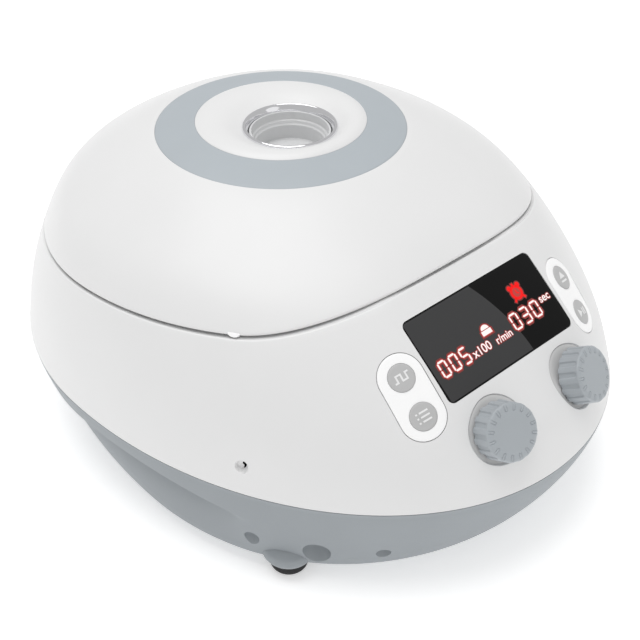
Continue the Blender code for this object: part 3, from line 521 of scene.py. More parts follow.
def on_skin(where, u, v, lift):
    """Points over (u, v) of a local frame, lifted off the front skin."""
    u, v = np.asarray(u, float), np.asarray(v, float)
    m = np.array(where)
    flat = m[:3, 3] + u[..., None] * m[:3, 0] + v[..., None] * m[:3, 1]

    def outside(w):
        p = flat + w[..., None] * m[:3, 2]
        return p[..., 1] <= front_skin_y(p[..., 0], p[..., 2])

    low = halved(np.full(u.shape, -SKIN_SEARCH), np.full(u.shape, SKIN_SEARCH), outside)
    return flat + (low + lift)[..., None] * m[:3, 2]


def normals(grid):
    """Outward unit normals of rows of points that close on themselves."""
    along = np.roll(grid, -1, axis=1) - np.roll(grid, 1, axis=1)
    up = np.gradient(grid, axis=0)
    out = np.cross(along, up)
    return out / np.linalg.norm(out, axis=2, keepdims=True)


def rounding(distance, radius):
    """How far a round edge has fallen back at a distance from it."""
    d = np.clip(distance, 0.0, radius)
    return radius - np.sqrt(radius ** 2 - (radius - d) ** 2)


def edge_steps(span, radius, count):
    """Distances along a side, close together in the round edges at both of its ends."""
    fine = radius * (1.0 - np.cos(np.linspace(0.0, np.pi / 2.0, 6)))
    start = np.outer(fine, np.ones_like(span))
    middle = radius + np.outer(np.linspace(0.0, 1.0, count)[1:-1], span - 2.0 * radius)
    return np.vstack((start, middle, span - start[::-1]))


def towards_chamber(points, distance, z):
    """Points moved level towards the chamber's axis, and put at a height."""
    radial = points[:, :2] - np.array(CHAMBER)[:2]
    length = np.linalg.norm(radial, axis=1)
    moved = radial * ((length - distance) / length)[:, None]
    return np.column_stack((moved + np.array(CHAMBER)[:2], np.broadcast_to(z, length.shape)))


def chamber_ring(points, radius, z):
    """A circle whose points lie in the same directions as another row's points."""
    radial = points[:, :2] - np.array(CHAMBER)[:2]
    radial /= np.linalg.norm(radial, axis=1)[:, None]
    return np.column_stack((radial * radius + np.array(CHAMBER)[:2], np.full(len(points), z)))


# ---- Base ------------------------------------------------------------------------------

def base_points(z, depth):
    """One row of the base's bowl at given heights, some way in from its outside."""
    z = np.broadcast_to(np.asarray(z, float), TURN.shape)
    t = np.clip((PARTING_Z - GAP - z) / (PARTING_Z - GAP - FLOOR_Z), 0.0, 1.0)
    blend = 1.0 - (1.0 - t ** WALL_POWER) ** (1.0 / WALL_POWER)
    section = EGG_SECTIONS[0, 1:][:, None] * (1.0 - blend) + np.outer(BASE_FLOOR, blend)
    power = EGG_POWER + (FLOOR_POWER - EGG_POWER) * blend
    x, y = oval(TURN, section[0] - depth, section[1] - depth, section[2] - depth, section[3], power)
    away = (y - GRIP_MIDDLE_Y) / GRIP_REACH
    below = np.maximum(0.0, GRIP_Z - GRIP_DROP * away ** 2 - z)
    deep = np.where(np.abs(away) < 1.0, GRIP_DEPTH * (1.0 - away ** 2), 0.0)
    deep = deep * np.minimum(1.0, below / GRIP_RAMP) * np.exp(-below / GRIP_FADE)
    return np.column_stack((np.sign(x) * np.maximum(0.0, np.abs(x) - deep), y, z))


def base_rows(depth, low):
    """Rows from the floor to the brim, one of which runs along the grips' upper edge."""
    crease = np.full(AROUND, GRIP_Z)
    for _ in range(4):
        away = np.clip((base_points(crease, depth)[:, 1] - GRIP_MIDDLE_Y) / GRIP_REACH, -1.0, 1.0)
        crease = GRIP_Z - GRIP_DROP * away ** 2
    rise = 1.0 - np.sin(np.linspace(0.0, np.pi / 2.0, 22))[::-1]
    rows = [base_points(low + (crease - 3.0 - low) * k, depth) for k in rise]
    rows += [base_points(crease - 3.0 + k, depth) for k in (1.0, 2.0, 2.7, 3.0, 3.3)]
    top = PARTING_Z - GAP
    rows += [base_points(crease + 0.3 + (top - crease - 0.3) * k, depth)
             for k in np.linspace(0.0, 1.0, 8)[1:]]
    return rows


def well_frame(well, side):
    x, y, z, _, _, heading = well
    heading = math.radians(heading)
    across = math.sin(WELL_TILT)
    return frame_at((side * x, y, z), (side * across * math.cos(heading), across * math.sin(heading),
                                       -math.cos(WELL_TILT)))


def well_solid(well, side, wall, beyond):
    """A blind well with a round floor, or with a wall the sleeve about it."""
    radius, deep = well[3] + wall, well[3] * WELL_DEPTH + wall
    bowl = [(radius * math.sin(a), -deep + radius * (1.0 - math.cos(a)))
            for a in np.linspace(0.06, math.pi / 2.0, 16)]
    return turned("well", bowl + [(radius, beyond)], GREY, well_frame(well, side), 72,
                  bored=False, soft=0)


def make_base():
    outside = np.array(base_rows(0.0, FLOOR_Z))
    brim = outside[-1]
    inside = np.array(base_rows(SKIN, FLOOR_Z + SKIN))
    base = loft("base_shell_fine", list(outside) + list(inside[::-1]), GREY)
    bosses = [turned("boss", BOSS_PROFILE, GREY, Matrix.Translation((x, y, 0.0)), 48, bored=False, soft=1.2)
              for x, y in FOOT_PLACES]
    combine(base, merged("bosses", bosses, GREY), "UNION")
    sleeves = merged("sleeves", [well_solid(well, side, WELL_WALL, SLEEVE_REACH)
                                 for well in WELLS for side in (1, -1)], GREY)
    combine(sleeves, loft("body", list(np.array(base_rows(GAP, FLOOR_Z + GAP))), GREY), "INTERSECT")
    combine(base, sleeves, "UNION")
    combine(base, merged("bores", [well_solid(well, side, 0.0, 10.0)
                                   for well in WELLS for side in (1, -1)], GREY))
    end = -WELLS[1][4]
    holes = [rod("hole", SCREW_POCKET_R, end - 9.0, end + 3.0, well_frame(WELLS[1], side), 32)
             for side in (1, -1)]
    combine(base, merged("holes", holes, GREY))
    place(base, "base", "grey_plastic", "base_shell")
    for index, (x, y) in enumerate(FOOT_PLACES):
        foot = turned(f"foot_{index + 1}_fine", FOOT_PROFILE, RUBBER, Matrix.Translation((x, y, 0.0)), 64,
                      bored=False, soft=FOOT_SOFTENING)
        place(foot, "base", "rubber", f"foot_{index + 1}")
    return brim


# ---- Housing ---------------------------------------------------------------------------

def plate_frame(side):
    """The frame of a button plate, midway between its buttons and square to the skin."""
    middle = (BUTTON_POINTS[0] + BUTTON_POINTS[1]) / 2.0
    flip = Vector((side, 1.0, 1.0))
    z = skin_normal(middle.x, middle.z) * flip
    y = ((BUTTON_POINTS[0] - BUTTON_POINTS[1]) * flip).normalized()
    x = y.cross(z).normalized()
    y = z.cross(x)
    return Matrix.Translation(middle * flip) @ Matrix((x, y, z)).transposed().to_4x4()


def skin_at_y(x, y):
    return Vector((x, y, float(halved(PARTING_Z, 125.0, lambda z: front_skin_y(x, z) >= y))))


BUTTON_POINTS = [skin_at_y(BUTTON_X, y) for y in BUTTON_Y]
PLATE_SPAN = (BUTTON_POINTS[0] - BUTTON_POINTS[1]).length


def button_frames(side):
    plate = plate_frame(side)
    return [Matrix.Translation(Vector(on_skin(plate, 0.0, offset, 0.0))) @ plate.to_3x3().to_4x4()
            for offset in (PLATE_SPAN / 2.0, -PLATE_SPAN / 2.0)]


def knob_frame(side):
    flip = Vector((side, 1.0, 1.0))
    return frame_at(KNOB_BASE * flip, KNOB_AXIS * flip)


def stadium(radius, span, steps=24):
    points = []
    for end, start in ((span / 2.0, 0.0), (-span / 2.0, math.pi)):
        for k in range(steps + 1):
            angle = start + math.pi * k / steps
            points.append((radius * math.cos(angle), end + radius * math.sin(angle)))
    return np.array(points)


def plate_solid(name, side, layers, look):
    """A stadium-shaped solid over the skin: layers list (radius, height) from below to above."""
    where = plate_frame(side)
    full = stadium(PLATE_R, PLATE_SPAN)
    core = stadium(0.0001, PLATE_SPAN)
    rows = []
    for radius, lift in layers:
        outline = core + (full - core) * (radius / PLATE_R)
        rows.append(on_skin(where, outline[:, 0], outline[:, 1], lift))
    return loft(name, rows, look)


UNBOUNDED = 9.0  # a plane so high that it cuts nothing off


def over_skin(where, radius, lift, highest):
    """A ring of points about a local frame, lifted off the skin but no higher than a level plane."""
    turn = 2.0 * np.pi * np.arange(120) / 120
    m = np.array(where)
    points = on_skin(where, radius * np.cos(turn), radius * np.sin(turn), lift)
    height = (points - m[:3, 3]) @ m[:3, 2]
    return points + np.minimum(0.0, highest - height)[:, None] * m[:3, 2]


def seat_rows(where):
    """The recess about a knob, which follows the skin where the skin falls away from the knob."""
    edge = KNOB_SEAT_R
    floor = ((5.0, -1.5), (edge - 0.5, -1.5))
    wall = ((edge - 0.3, -1.1), (edge - 0.25, -0.5), (edge, -0.15), (edge + 0.4, 0.2), (edge + 0.5, 6.0),
            (5.0, 6.0))
    return ([over_skin(where, radius, lift, -1.0) for radius, lift in floor]
            + [over_skin(where, radius, lift, UNBOUNDED) for radius, lift in wall])


# Painted shade: a grey ring stands for the shadow in each knob recess.
def make_seat_shade(side):
    """A thin grey ring laid in the recess about a knob: painted shade for the shadow in the recess."""
    outer = KNOB_SEAT_R - 0.35
    profile = ((5.0, -1.35, -0.92), (outer, -1.35, -0.92), (outer, -0.5, -0.5),
               (outer - 0.3, -0.35, -0.5), (outer - 1.4, -0.35, -0.5), (5.0, -0.5, -0.5))
    rows = [over_skin(knob_frame(side), *level) for level in profile]
    name = "knob_seat_shade_left" if side < 0 else "knob_seat_shade_right"
    place(loft(name, rows, SEAT_SHADE, closed=True), "base", "grey_plastic")


def make_housing():
    top = seam(0.0, PANEL_CREASE)
    bottom = along_egg(PARTING_Z - 0.28)
    brim_r, rim_r = 0.15, 1.1
    span = top - SEAM_GAP - bottom
    steps = edge_steps(span, rim_r, 48)
    outside = egg(TURN, bottom + steps)
    fall = rounding(steps, brim_r) + rounding(span - steps, rim_r)
    outside = outside - fall[..., None] * normals(outside)
    rim = outside[-1]
    land = towards_chamber(rim, RIM_LAND, rim[:, 2])
    foot = towards_chamber(rim, RIM_LAND + (rim[:, 2] - DECK_Z) * RIM_LEAN, DECK_Z)
    inner = egg(TURN, bottom + np.outer(np.linspace(0.0, 1.0, 12), span))
    inside = inner - SKIN * normals(inner)
    inside[0][:, 2] = outside[0][:, 2]
    under = DECK_Z - DECK_THICK
    corner = 1.2
    rows = list(outside) + [
        towards_chamber(rim, RIM_LAND - 0.3, rim[:, 2]),
        towards_chamber(rim, RIM_LAND, rim[:, 2] - 0.3),
        land * 0.02 + foot * 0.98 + np.array((0.0, 0.0, corner)),
        towards_chamber(foot, corner * 0.4, DECK_Z + corner * 0.25),
        towards_chamber(foot, corner, DECK_Z),
        chamber_ring(rim, CHAMBER_R + 1.0, DECK_Z),
        chamber_ring(rim, CHAMBER_R + 0.3, DECK_Z - 0.3),
        chamber_ring(rim, CHAMBER_R, DECK_Z - 1.0),
        chamber_ring(rim, CHAMBER_R, COLLAR_Z),
        chamber_ring(rim, CHAMBER_R + SKIN, COLLAR_Z),
        chamber_ring(rim, CHAMBER_R + SKIN, under),
        towards_chamber(foot, -SKIN, under),
    ] + list(inside[::-1])
    housing = loft("upper_housing_fine", rows, WHITE, closed=True)

    cutters = [prism("cut", rounded_outline(DISPLAY_SIZE[0] + 2 * GAP, DISPLAY_SIZE[1] + 2 * GAP,
                                            3.0, 12), -8.0, 6.0, BLACK, PANEL)]
    for side in (1, -1):
        knob = knob_frame(side)
        cutters.append(rod("cut", 4.0, -8.0, -0.6, knob, 48))
        rows = seat_rows(knob)
        cutters.append(loft("cut", rows, BLACK))
        radius = PLATE_R + GAP
        cutters.append(plate_solid("cut", side, [(2.0, -1.3), (radius, -1.3), (radius, 6.0), (2.0, 6.0)],
                                   BLACK))
        for where in button_frames(side):
            cutters.append(rod("cut", 4.2, -8.0, -0.9, where, 32))
    port = frame_at(RELEASE_PORT, RELEASE_AXIS)
    cutters.append(turned("cut", [(1.9, -2.3), (2.9, -0.4), (3.3, 0.4), (3.4, 7.0)], BLACK, port, 64,
                          bored=False, soft=[0.5, 0.4, 0.4, 0]))
    cutters.append(rod("cut", 1.0, -8.0, -0.6, port @ RELEASE_HOLE, 32))
    cutters.append(box("cut", (-1.8, -74.8, DECK_Z - 6.0), (1.8, -68.6, DECK_Z + 6.0), BLACK, 0.6))
    cutters.append(box("cut", (-31.3, 120.0, REAR_LOW - GAP), (31.3, 170.0, REAR_HIGH + GAP), BLACK))
    for cutter in cutters:
        combine(housing, cutter)
    place(housing, "base", "white_plastic", "upper_housing")


# ---- Panel -----------------------------------------------------------------------------

def stroke(points, width):
    """The outline of a line of some width through points, with square ends."""
    path = [Vector(p) for p in points]
    left, right = [], []
    for i, here in enumerate(path):
        ahead = (path[min(i + 1, len(path) - 1)] - here)
        behind = (here - path[max(i - 1, 0)])
        ahead = ahead.normalized() if ahead.length else behind.normalized()
        behind = behind.normalized() if behind.length else ahead
        across = Vector((-(ahead + behind).y, (ahead + behind).x)).normalized()
        reach = width / 2.0 / max(0.4, across.dot(Vector((-ahead.y, ahead.x))))
        left.append(tuple(here + across * reach))
        right.append(tuple(here - across * reach))
    return left + right[::-1]


SEGMENTS = {"a": ((0, 2), (1, 2)), "b": ((1, 2), (1, 1)), "c": ((1, 1), (1, 0)),
            "d": ((0, 0), (1, 0)), "e": ((0, 0), (0, 1)), "f": ((0, 1), (0, 2)), "g": ((0, 1), (1, 1))}
DIGITS = {"0": "abcdef", "3": "abcdg", "5": "acdfg"}


def digit_outlines(digit, left, base, width, height, thick, grow):
    """The lit segments of one digit, each a bar with pointed ends, grown on all sides."""
    out = []
    inner_w, inner_h = width - thick, (height - thick) / 2.0
    for key in DIGITS[digit]:
        (x0, y0), (x1, y1) = SEGMENTS[key]
        start = Vector((left + thick / 2 + x0 * inner_w, base + thick / 2 + y0 * inner_h))
        end = Vector((left + thick / 2 + x1 * inner_w, base + thick / 2 + y1 * inner_h))
        along = (end - start).normalized()
        side = Vector((-along.y, along.x))
        half = thick / 2.0 + grow
        gap = 0.12 - grow
        inset, flank = along * (gap + half), side * half
        out.append([tuple(p) for p in (start + along * gap, start + inset + flank, end - inset + flank,
                                       end - along * gap, end - inset - flank, start + inset - flank)])
    return out


def flat_pieces(name, outlines, low, high, look, where=PANEL):
    return merged(name, [prism("bit", o, low, high, look, where) for o in outlines], look)


def disc(x, y, radius, steps=28):
    return [(x + radius * math.cos(a), y + radius * math.sin(a))
            for a in (2 * math.pi * k / steps for k in range(steps))]


def lettering(name, words, u, v, size, low, look, grow):
    """Plain unit lettering on the panel."""
    curve = bpy.data.curves.new(name, "FONT")
    curve.body = words
    curve.size = size
    curve.extrude = 0.01
    curve.offset = grow
    thing = bpy.data.objects.new(name, curve)
    bpy.context.scene.collection.objects.link(thing)
    bpy.context.view_layer.update()
    mesh = bpy.data.meshes.new_from_object(thing.evaluated_get(bpy.context.evaluated_depsgraph_get()))
    bpy.data.objects.remove(thing, do_unlink=True)
    mesh.transform(Matrix.Scale(MM, 4) @ PANEL @ Matrix.Translation((u, v, low)))
    return finish(name, mesh, look)


def display_look():
    """Black acrylic, with a painted reflection: a paler part whose edge runs down it in a long curve."""
    made = surface("black_acrylic", (0.008, 0.008, 0.008), 0.14, grain=(900.0, 0.0015), mottle=0.05,
                   rough_vary=0.03)
    tree = made.node_tree
    shader = tree.nodes["Principled BSDF"]
    shader.inputs["Specular IOR Level"].default_value = 0.12
    coords = [n for n in tree.nodes if n.type == "TEX_COORD"][0].outputs["Object"]
    middle = PANEL_ORIGIN * MM

    def arithmetic(operation, *values):
        return node_output(tree, "ShaderNodeMath", 0, dict(enumerate(values)), operation=operation)

    def across(axis):
        """Millimetres from the panel's middle along one of its axes."""
        dot = node_output(tree, "ShaderNodeVectorMath", "Value", {0: coords, 1: axis},
                          operation="DOT_PRODUCT")
        return arithmetic("MULTIPLY_ADD", dot, 1.0 / MM, -axis.dot(middle) / MM)

    u, v = (across(PANEL.to_3x3().col[k]) for k in (0, 1))
    # Painted reflection: the base colour turns paler left of a long curve, inside a thin black border.
    curve = arithmetic("ADD", arithmetic("MULTIPLY", v, -0.30),
                       arithmetic("MULTIPLY", arithmetic("MULTIPLY", v, v), -0.0075))
    paler = arithmetic("LESS_THAN", arithmetic("SUBTRACT", u, curve), 9.35)
    for along, span in zip((u, v), DISPLAY_SIZE):
        within = arithmetic("LESS_THAN", arithmetic("ABSOLUTE", along), span / 2.0 - 0.45)
        paler = arithmetic("MULTIPLY", paler, within)
    before = shader.inputs["Base Color"].links[0].from_socket
    tree.links.new(mixed(tree, paler, before, (0.055, 0.055, 0.056, 1.0)), shader.inputs["Base Color"])
    return made


def clock_outlines(case, bell, foot, foot_width, button, button_width):
    """An alarm clock: a round case, two bells, two feet and a button on top."""
    x, y = CLOCK
    return [disc(x, y, case), disc(x - 2.6, y + 2.9, bell, 16), disc(x + 2.6, y + 2.9, bell, 16),
            stroke([(x - 2.0, y - 2.1), (x - foot[0], y - foot[1])], foot_width),
            stroke([(x + 2.0, y - 2.1), (x + foot[0], y - foot[1])], foot_width),
            stroke([(x, y + 2.8), (x, y + button)], button_width)]


def make_display():
    glass = prism("display_window_fine", rounded_outline(*DISPLAY_SIZE, 3.0, 12), -2.4, -0.1,
                  display_look(), PANEL)
    place(bevelled(glass, 0.25), "base", "black_gloss", "display_window")
    top = -0.1
    for layer, (grow, look, lift) in enumerate(((1.0, HALO_FAR, 0.02), (0.45, HALO_NEAR, 0.04),
                                                (0.0, LIT_WHITE, 0.06))):
        outlines = []
        for digits, left, pitch, *rest in (("005", -35.5, 6.3, -9.2, 4.6, 7.5),
                                           ("030", 10.1, 6.75, -8.6, 4.9, 7.7)):
            for k, digit in enumerate(digits):
                outlines += digit_outlines(digit, left + pitch * k, *rest, 0.85, grow)
        # The lid icon is a dome over a bar.
        bar = [(-6.9 - grow, -3.0 - grow), (-1.2 + grow, -3.0 - grow),
               (-1.2 + grow, -0.9 + grow * 0.3), (-6.9 - grow, -0.9 + grow * 0.3)]
        dome = [(-4.05 + (2.3 + grow) * math.cos(angle),
                 -0.55 - grow * 0.3 + (2.0 + grow) * math.sin(angle))
                for angle in (math.pi * k / 12 for k in range(13))]
        outlines += [bar, dome]
        place(flat_pieces(f"display_digits_{layer + 1}", outlines, top - 0.3, top + lift, look),
              "base", "black_gloss")
        for word, text, u, v, size in (("scale", "x100", -16.8, -8.8, 5.5),
                                       ("speed", "r/min", -2.6, -8.9, 4.7),
                                       ("time", "sec", 30.4, -3.9, 5.2)):
            piece = lettering(f"unit_{word}_{layer + 1}", text, u, v, size, top + lift - 0.005, look,
                              0.06 + grow * 0.4)
            place(piece, "base", "black_gloss")
    for name, outlines, lift, look in (
            ("clock_mark", clock_outlines(3.5, 1.25, (3.3, 3.7), 1.1, 4.4, 1.2), 0.05, LIT_RED),
            ("clock_glow", clock_outlines(4.1, 1.8, (3.6, 4.1), 1.9, 4.9, 2.0), 0.02, HALO_FAR),
            ("clock_face", [disc(*CLOCK, 2.1)], 0.07, HALO_NEAR),
            ("clock_hands", [stroke([(22.0, 7.2), (22.0, 5.5), (23.2, 4.9)], 0.6)], 0.09, LIT_RED)):
        place(flat_pieces(name, outlines, top - 0.3, top + lift, look), "base", "black_gloss")


def button_mark(name):
    """A plain mark for each button's use."""
    if name == "pulse_button":
        return [stroke([(-3.6, -1.3), (-2.2, -1.3), (-2.2, 1.5), (0.0, 1.5), (0.0, -1.3), (2.2, -1.3),
                        (2.2, 1.5), (3.6, 1.5)], 0.75)]
    if name == "program_button":
        return [stroke([(x0, y), (x1, y)], 0.75) for x0, x1 in ((-2.9, -2.1), (-1.2, 2.9))
                for y in (1.9, 0.0, -1.9)]
    if name == "door_button":
        return [[(-2.6, -0.3), (2.6, -0.3), (0.0, 2.7)], stroke([(-2.6, -1.8), (2.6, -1.8)], 0.9)]
    return [[(-3.1, -1.9), (-3.1, 1.9), (0.1, 0.0)], stroke([(1.1, -1.7), (1.1, 1.7)], 0.85),
            stroke([(2.7, -1.7), (2.7, 1.7)], 0.85)]


def make_controls():
    names = {-1: ("pulse_button", "program_button"), 1: ("door_button", "run_button")}
    ring = 2.0 * np.pi * np.arange(64) / 64
    for side, word in ((-1, "left"), (1, "right")):
        plate = plate_solid(f"button_plate_{word}_fine", side,
                            [(2.0, -1.0), (PLATE_R, -1.0), (PLATE_R, -0.1), (PLATE_R - 0.06, 0.06),
                             (PLATE_R - 0.25, 0.15), (PLATE_R - 1.0, 0.17), (7.0, 0.17), (4.0, 0.17),
                             (1.0, 0.17)], PLATE)
        for where in button_frames(side):
            combine(plate, rod("hole", BUTTON_R + 0.1, -4.0, 4.0, where, 64))
        place(plate, "base", "white_plastic", f"button_plate_{word}")
        for name, where in zip(names[side], button_frames(side)):
            def level(radius, height):
                return [where @ Vector((radius * math.cos(a), radius * math.sin(a), height)) for a in ring]

            def skin(radius, lift):
                return on_skin(where, radius * np.cos(ring), radius * np.sin(ring), lift)

            rows = [level(3.4, -9.0), level(3.4, -2.0), skin(3.4, -0.6), skin(BUTTON_R, -0.6),
                    skin(BUTTON_R, 0.05), skin(BUTTON_R - 0.1, 0.25), skin(BUTTON_R - 0.35, 0.4),
                    skin(BUTTON_R - 0.7, 0.45), skin(4.0, 0.45), skin(2.0, 0.45), skin(0.5, 0.45)]
            place(loft(f"{name}_fine", rows, BUTTON), name, "button_grey", name)
            mark = flat_pieces(f"{name}_mark", button_mark(name), 0.2, 0.55, MARK, where)
            place(mark, name, "white_plastic")
    for side, name in ((-1, "speed_knob"), (1, "time_knob")):
        place(make_knob(f"{name}_fine", knob_frame(side)), name, "knob_grey", name)


def eased(t):
    """A smooth rise from 0 to 1."""
    t = np.clip(t, 0.0, 1.0)
    return t * t * (3.0 - 2.0 * t)


def make_knob(name, where):
    """A knob with broad flutes on its side and a small U-shaped groove over each ridge."""
    steps = FLUTES * 36
    angle = 2.0 * np.pi * np.arange(steps) / steps
    pitch = 2.0 * np.pi / FLUTES
    phase = (angle + pitch / 2.0) % pitch - pitch / 2.0
    ridge = (angle % pitch) - pitch / 2.0
    shoulder = KNOB_HEIGHT - CHAMFER
    rim = KNOB_R - KNOB_DRAFT
    scallop = SCALLOP_DEPTH * eased((1.15 - np.abs(phase) * KNOB_R / 1.4) / 0.9)

    def ring(radius, height):
        return np.column_stack((radius * np.cos(angle), radius * np.sin(angle),
                                np.broadcast_to(height, angle.shape)))

    def groove(radius):
        """The depth of the U-shaped grooves at a radius."""
        side = np.abs(ridge) * radius
        reach = side if radius > MARK_R else np.hypot(side, radius - MARK_R)
        return GROOVE_DEPTH * np.exp(-((reach - 0.55) / 0.2) ** 2) * eased(rim - radius)

    rows = [ring(3.4, 7.0), ring(3.4, -0.3)]
    for h in np.concatenate(([-0.3, 0.0, 0.3], np.linspace(0.6, shoulder - 2.2, 6),
                             np.linspace(shoulder - 1.9, shoulder, 12))):
        radius = KNOB_R - rounding(h + 0.3, 0.5) - KNOB_DRAFT * max(0.0, h) / KNOB_HEIGHT
        ahead = max(0.0, h - (shoulder - 1.7))
        valley = VALLEY_DEPTH * eased((1.15 - np.hypot(phase * KNOB_R, ahead) / 1.4) / 0.6)
        rows.append(ring(radius - np.maximum(valley, scallop), h))
    for back, rise in ((0.1, 0.33), (0.36, 0.62), (0.75, 0.86), (1.15, 1.0), (1.6, 1.08)):
        fade = scallop * (1.0 - back / 1.6)
        rows.append(ring(rim - back - fade, shoulder + rise - groove(rim - back)))
    for radius in np.concatenate((np.linspace(rim - 1.75, 8.6, 22), (8.0, 6.0, 4.0, 2.0, 0.4))):
        rows.append(ring(radius, KNOB_HEIGHT - groove(radius)))
    m = np.array(where @ Matrix.Rotation(KNOB_TWIST, 4, "Z"))
    return loft(name, [row @ m[:3, :3].T + m[:3, 3] for row in rows], KNOB)


# ---- Lid -------------------------------------------------------------------------------

def lid_circle(radius, z, middle_y):
    return np.column_stack((radius * np.cos(TURN), middle_y + radius * np.sin(TURN),
                            np.full(AROUND, z)))


def make_seam_tab():
    """The small half-moon tab that shows under the lid's edge beside the lock."""
    where = frame_at(SEAM_TAB, skin_normal(SEAM_TAB.x, SEAM_TAB.z))
    outline = [(2.6 * math.cos(a), 1.8 * math.sin(a)) for a in np.linspace(-math.pi, 0.0, 24)]
    tab = bevelled(prism("seam_tab", outline, -1.2, 0.7, PLATE, where), 0.3)
    place(tab, "base", "white_plastic")


def make_lid():
    low = seam(LID_PROUD, LID_CREASE)
    round_r = 0.9
    span = S_RING - low
    steps = edge_steps(span, round_r, 46)[:-6]
    outside = egg(TURN, low + steps, LID_PROUD, LID_CREASE)
    fall = rounding(steps, round_r)
    outside = outside - fall[..., None] * normals(outside)
    inner = egg(TURN, low + np.outer(np.linspace(0.0, 1.0, 14), span), LID_PROUD, LID_CREASE)
    inside = inner - SKIN * normals(inner)
    inside[0][:, 2] = outside[0][:, 2]
    groove = 1.2
    crown_y = EGG_SECTIONS[-1, 4]
    outer_r, inner_r = EGG_SECTIONS[-2, 1] - 0.3, EGG_SECTIONS[-1, 1]
    s_across = np.linspace(S_RING, S_CROWN, 600)
    radii, heights = EGG(s_across)[:, 1], EGG(s_across)[:, 0]

    def crown_z(radius):
        return float(np.interp(radius, radii[::-1], heights[::-1]))

    dish = np.array([(40.5, 145.9), (37.4, 147.05), (34.0, 147.5), (30.8, 147.3), (27.6, 146.4),
                     (24.6, 145.0), (22.2, 143.9)])
    far = np.concatenate(([0.0], np.cumsum(np.hypot(*np.diff(dish, axis=0).T))))
    curve = natural_spline(far, dish)
    dish = curve(np.linspace(0.0, far[-1], 34))
    rows = list(outside) + [lid_circle(outer_r + 0.1, crown_z(outer_r + 0.1), crown_y),
                            lid_circle(outer_r, crown_z(outer_r) - 0.15, crown_y)]
    rows += [lid_circle(r, crown_z(r) - groove, crown_y) for r in (outer_r, 52.0, 46.0, inner_r)]
    rows.append(lid_circle(inner_r, crown_z(inner_r) - 0.15, crown_y))

    def drifted(radius, z):
        drift = min(1.0, max(0.0, (inner_r - radius) / (inner_r - WINDOW_HOLE_R)))
        return lid_circle(radius, z, crown_y + (CHAMBER.y - crown_y) * drift)

    rows += [drifted(min(r, inner_r - 0.08), z) for r, z in dish]
    rows += [drifted(WINDOW_HOLE_R, 143.6), drifted(WINDOW_HOLE_R, 141.2), drifted(44.0, 141.4)]
    lid = loft("lid_shell_fine", rows + list(inside[::-1]), WHITE, closed=True)
    place(lid, "lid", "white_plastic", "lid_shell")

    inner, outer = inner_r + 0.06, outer_r - 0.06
    spread = np.linspace(inner + 0.2, outer - 0.2, 26)
    ring = [lid_circle(r, crown_z(r) - groove + GAP, crown_y) for r in (inner, 50.0, outer)]
    ring += [lid_circle(outer, crown_z(outer) - 0.12, crown_y)]
    ring += [lid_circle(r, crown_z(r) + 0.03, crown_y) for r in spread[::-1]]
    ring += [lid_circle(inner, crown_z(inner) - 0.12, crown_y)]
    place(loft("lid_ring_fine", ring, RING, closed=True), "lid", "ring_grey", "lid_ring")

    window = Matrix.Translation(CHAMBER)
    bezel = turned("window_bezel_fine", [(19.6, 141.6), (21.4, 142.4), (22.6, 144.0), (22.5, 144.8),
                                         (21.9, 145.3), (21.1, 145.3), (20.3, 144.2), (19.7, 142.6)],
                   CHROME, window, 160, soft=0.6)
    place(bezel, "lid", "chrome", "window_bezel")
    cup = turned("window_cup_fine", [(19.4, 127.0), (19.4, 142.4), (18.3, 142.6), (18.0, 138.6),
                                     (17.3, 138.2), (16.9, 136.9), (16.2, 136.4), (16.0, 129.4),
                                     (0.4, 129.4)], CLEAR, window, 160,
                 bored=False, soft=0.6)
    place(cup, "lid", "clear", "window_cup")

    edge = outside[8]
    sleeve = edge - 3.3 * normals(outside)[8]

    def level(radius, z):
        return chamber_ring(edge, radius, z)

    path = np.array([(93.0, LINER_Z), (90.0, LINER_Z), (84.0, LINER_Z), (80.0, LINER_Z + 0.6),
                     (72.0, LINER_Z + 6.0), (64.0, LINER_Z + 12.0), (50.0, LINER_Z + 17.5),
                     (36.0, LINER_Z + 22.0), (20.5, LINER_Z + 27.0)])
    under = [sleeve] + [level(r, z) for r, z in path]
    over = [row + np.array((0.0, 0.0, 2.0)) for row in under[::-1]]
    over[-1] = towards_chamber(sleeve, 1.5, sleeve[:, 2] + 0.8)
    place(loft("lid_liner_fine", under + over, WHITE, closed=True), "lid", "white_plastic", "lid_liner")


def make_hinges():
    steps = 14
    for side, word in ((-1, "left"), (1, "right")):
        for kind, inner, outer, low, high in (("lid_hinge_arm", 8.0, 18.7, 100.5, 110.0),
                                              ("hinge_bracket", 19.0, 29.0, 84.5, 95.5)):
            heights = [low + (high - low) * k / steps for k in range(steps + 1)]
            _, half, _, back, middle = np.moveaxis(EGG(along_egg(np.array(heights))), -1, 0)
            skin = middle + back * (1.0 - (inner / half) ** EGG_POWER) ** (1.0 / EGG_POWER)
            near = [(float(y) + GAP, z) for y, z in zip(skin, heights)]
            is_arm = kind == "lid_hinge_arm"
            outline = hinge_outline(near, is_arm)
            start, end = sorted((side * inner, side * outer))
            rows = [[Vector((x, y, z)) for y, z in outline] for x in (start, end)]
            piece = loft(f"{kind}_{word}_fine", rows, WHITE if is_arm else GREY)
            along = frame_at(HINGE, (1.0, 0.0, 0.0))
            combine(piece, rod("bore", HINGE_BORE_R, -60.0, 60.0, along, 40))
            bevelled(piece, 0.45, 2)
            place(piece, "lid" if is_arm else "base", "white_plastic" if is_arm else "grey_plastic",
                  f"{kind}_{word}")
        start, end = sorted((side * 9.0, side * 28.0))
        pin = rod(f"hinge_pin_{word}_fine", HINGE_PIN_R, start, end, along, 40, STEEL)
        place(bevelled(pin, 0.35, 2), "base", "steel", f"hinge_pin_{word}")


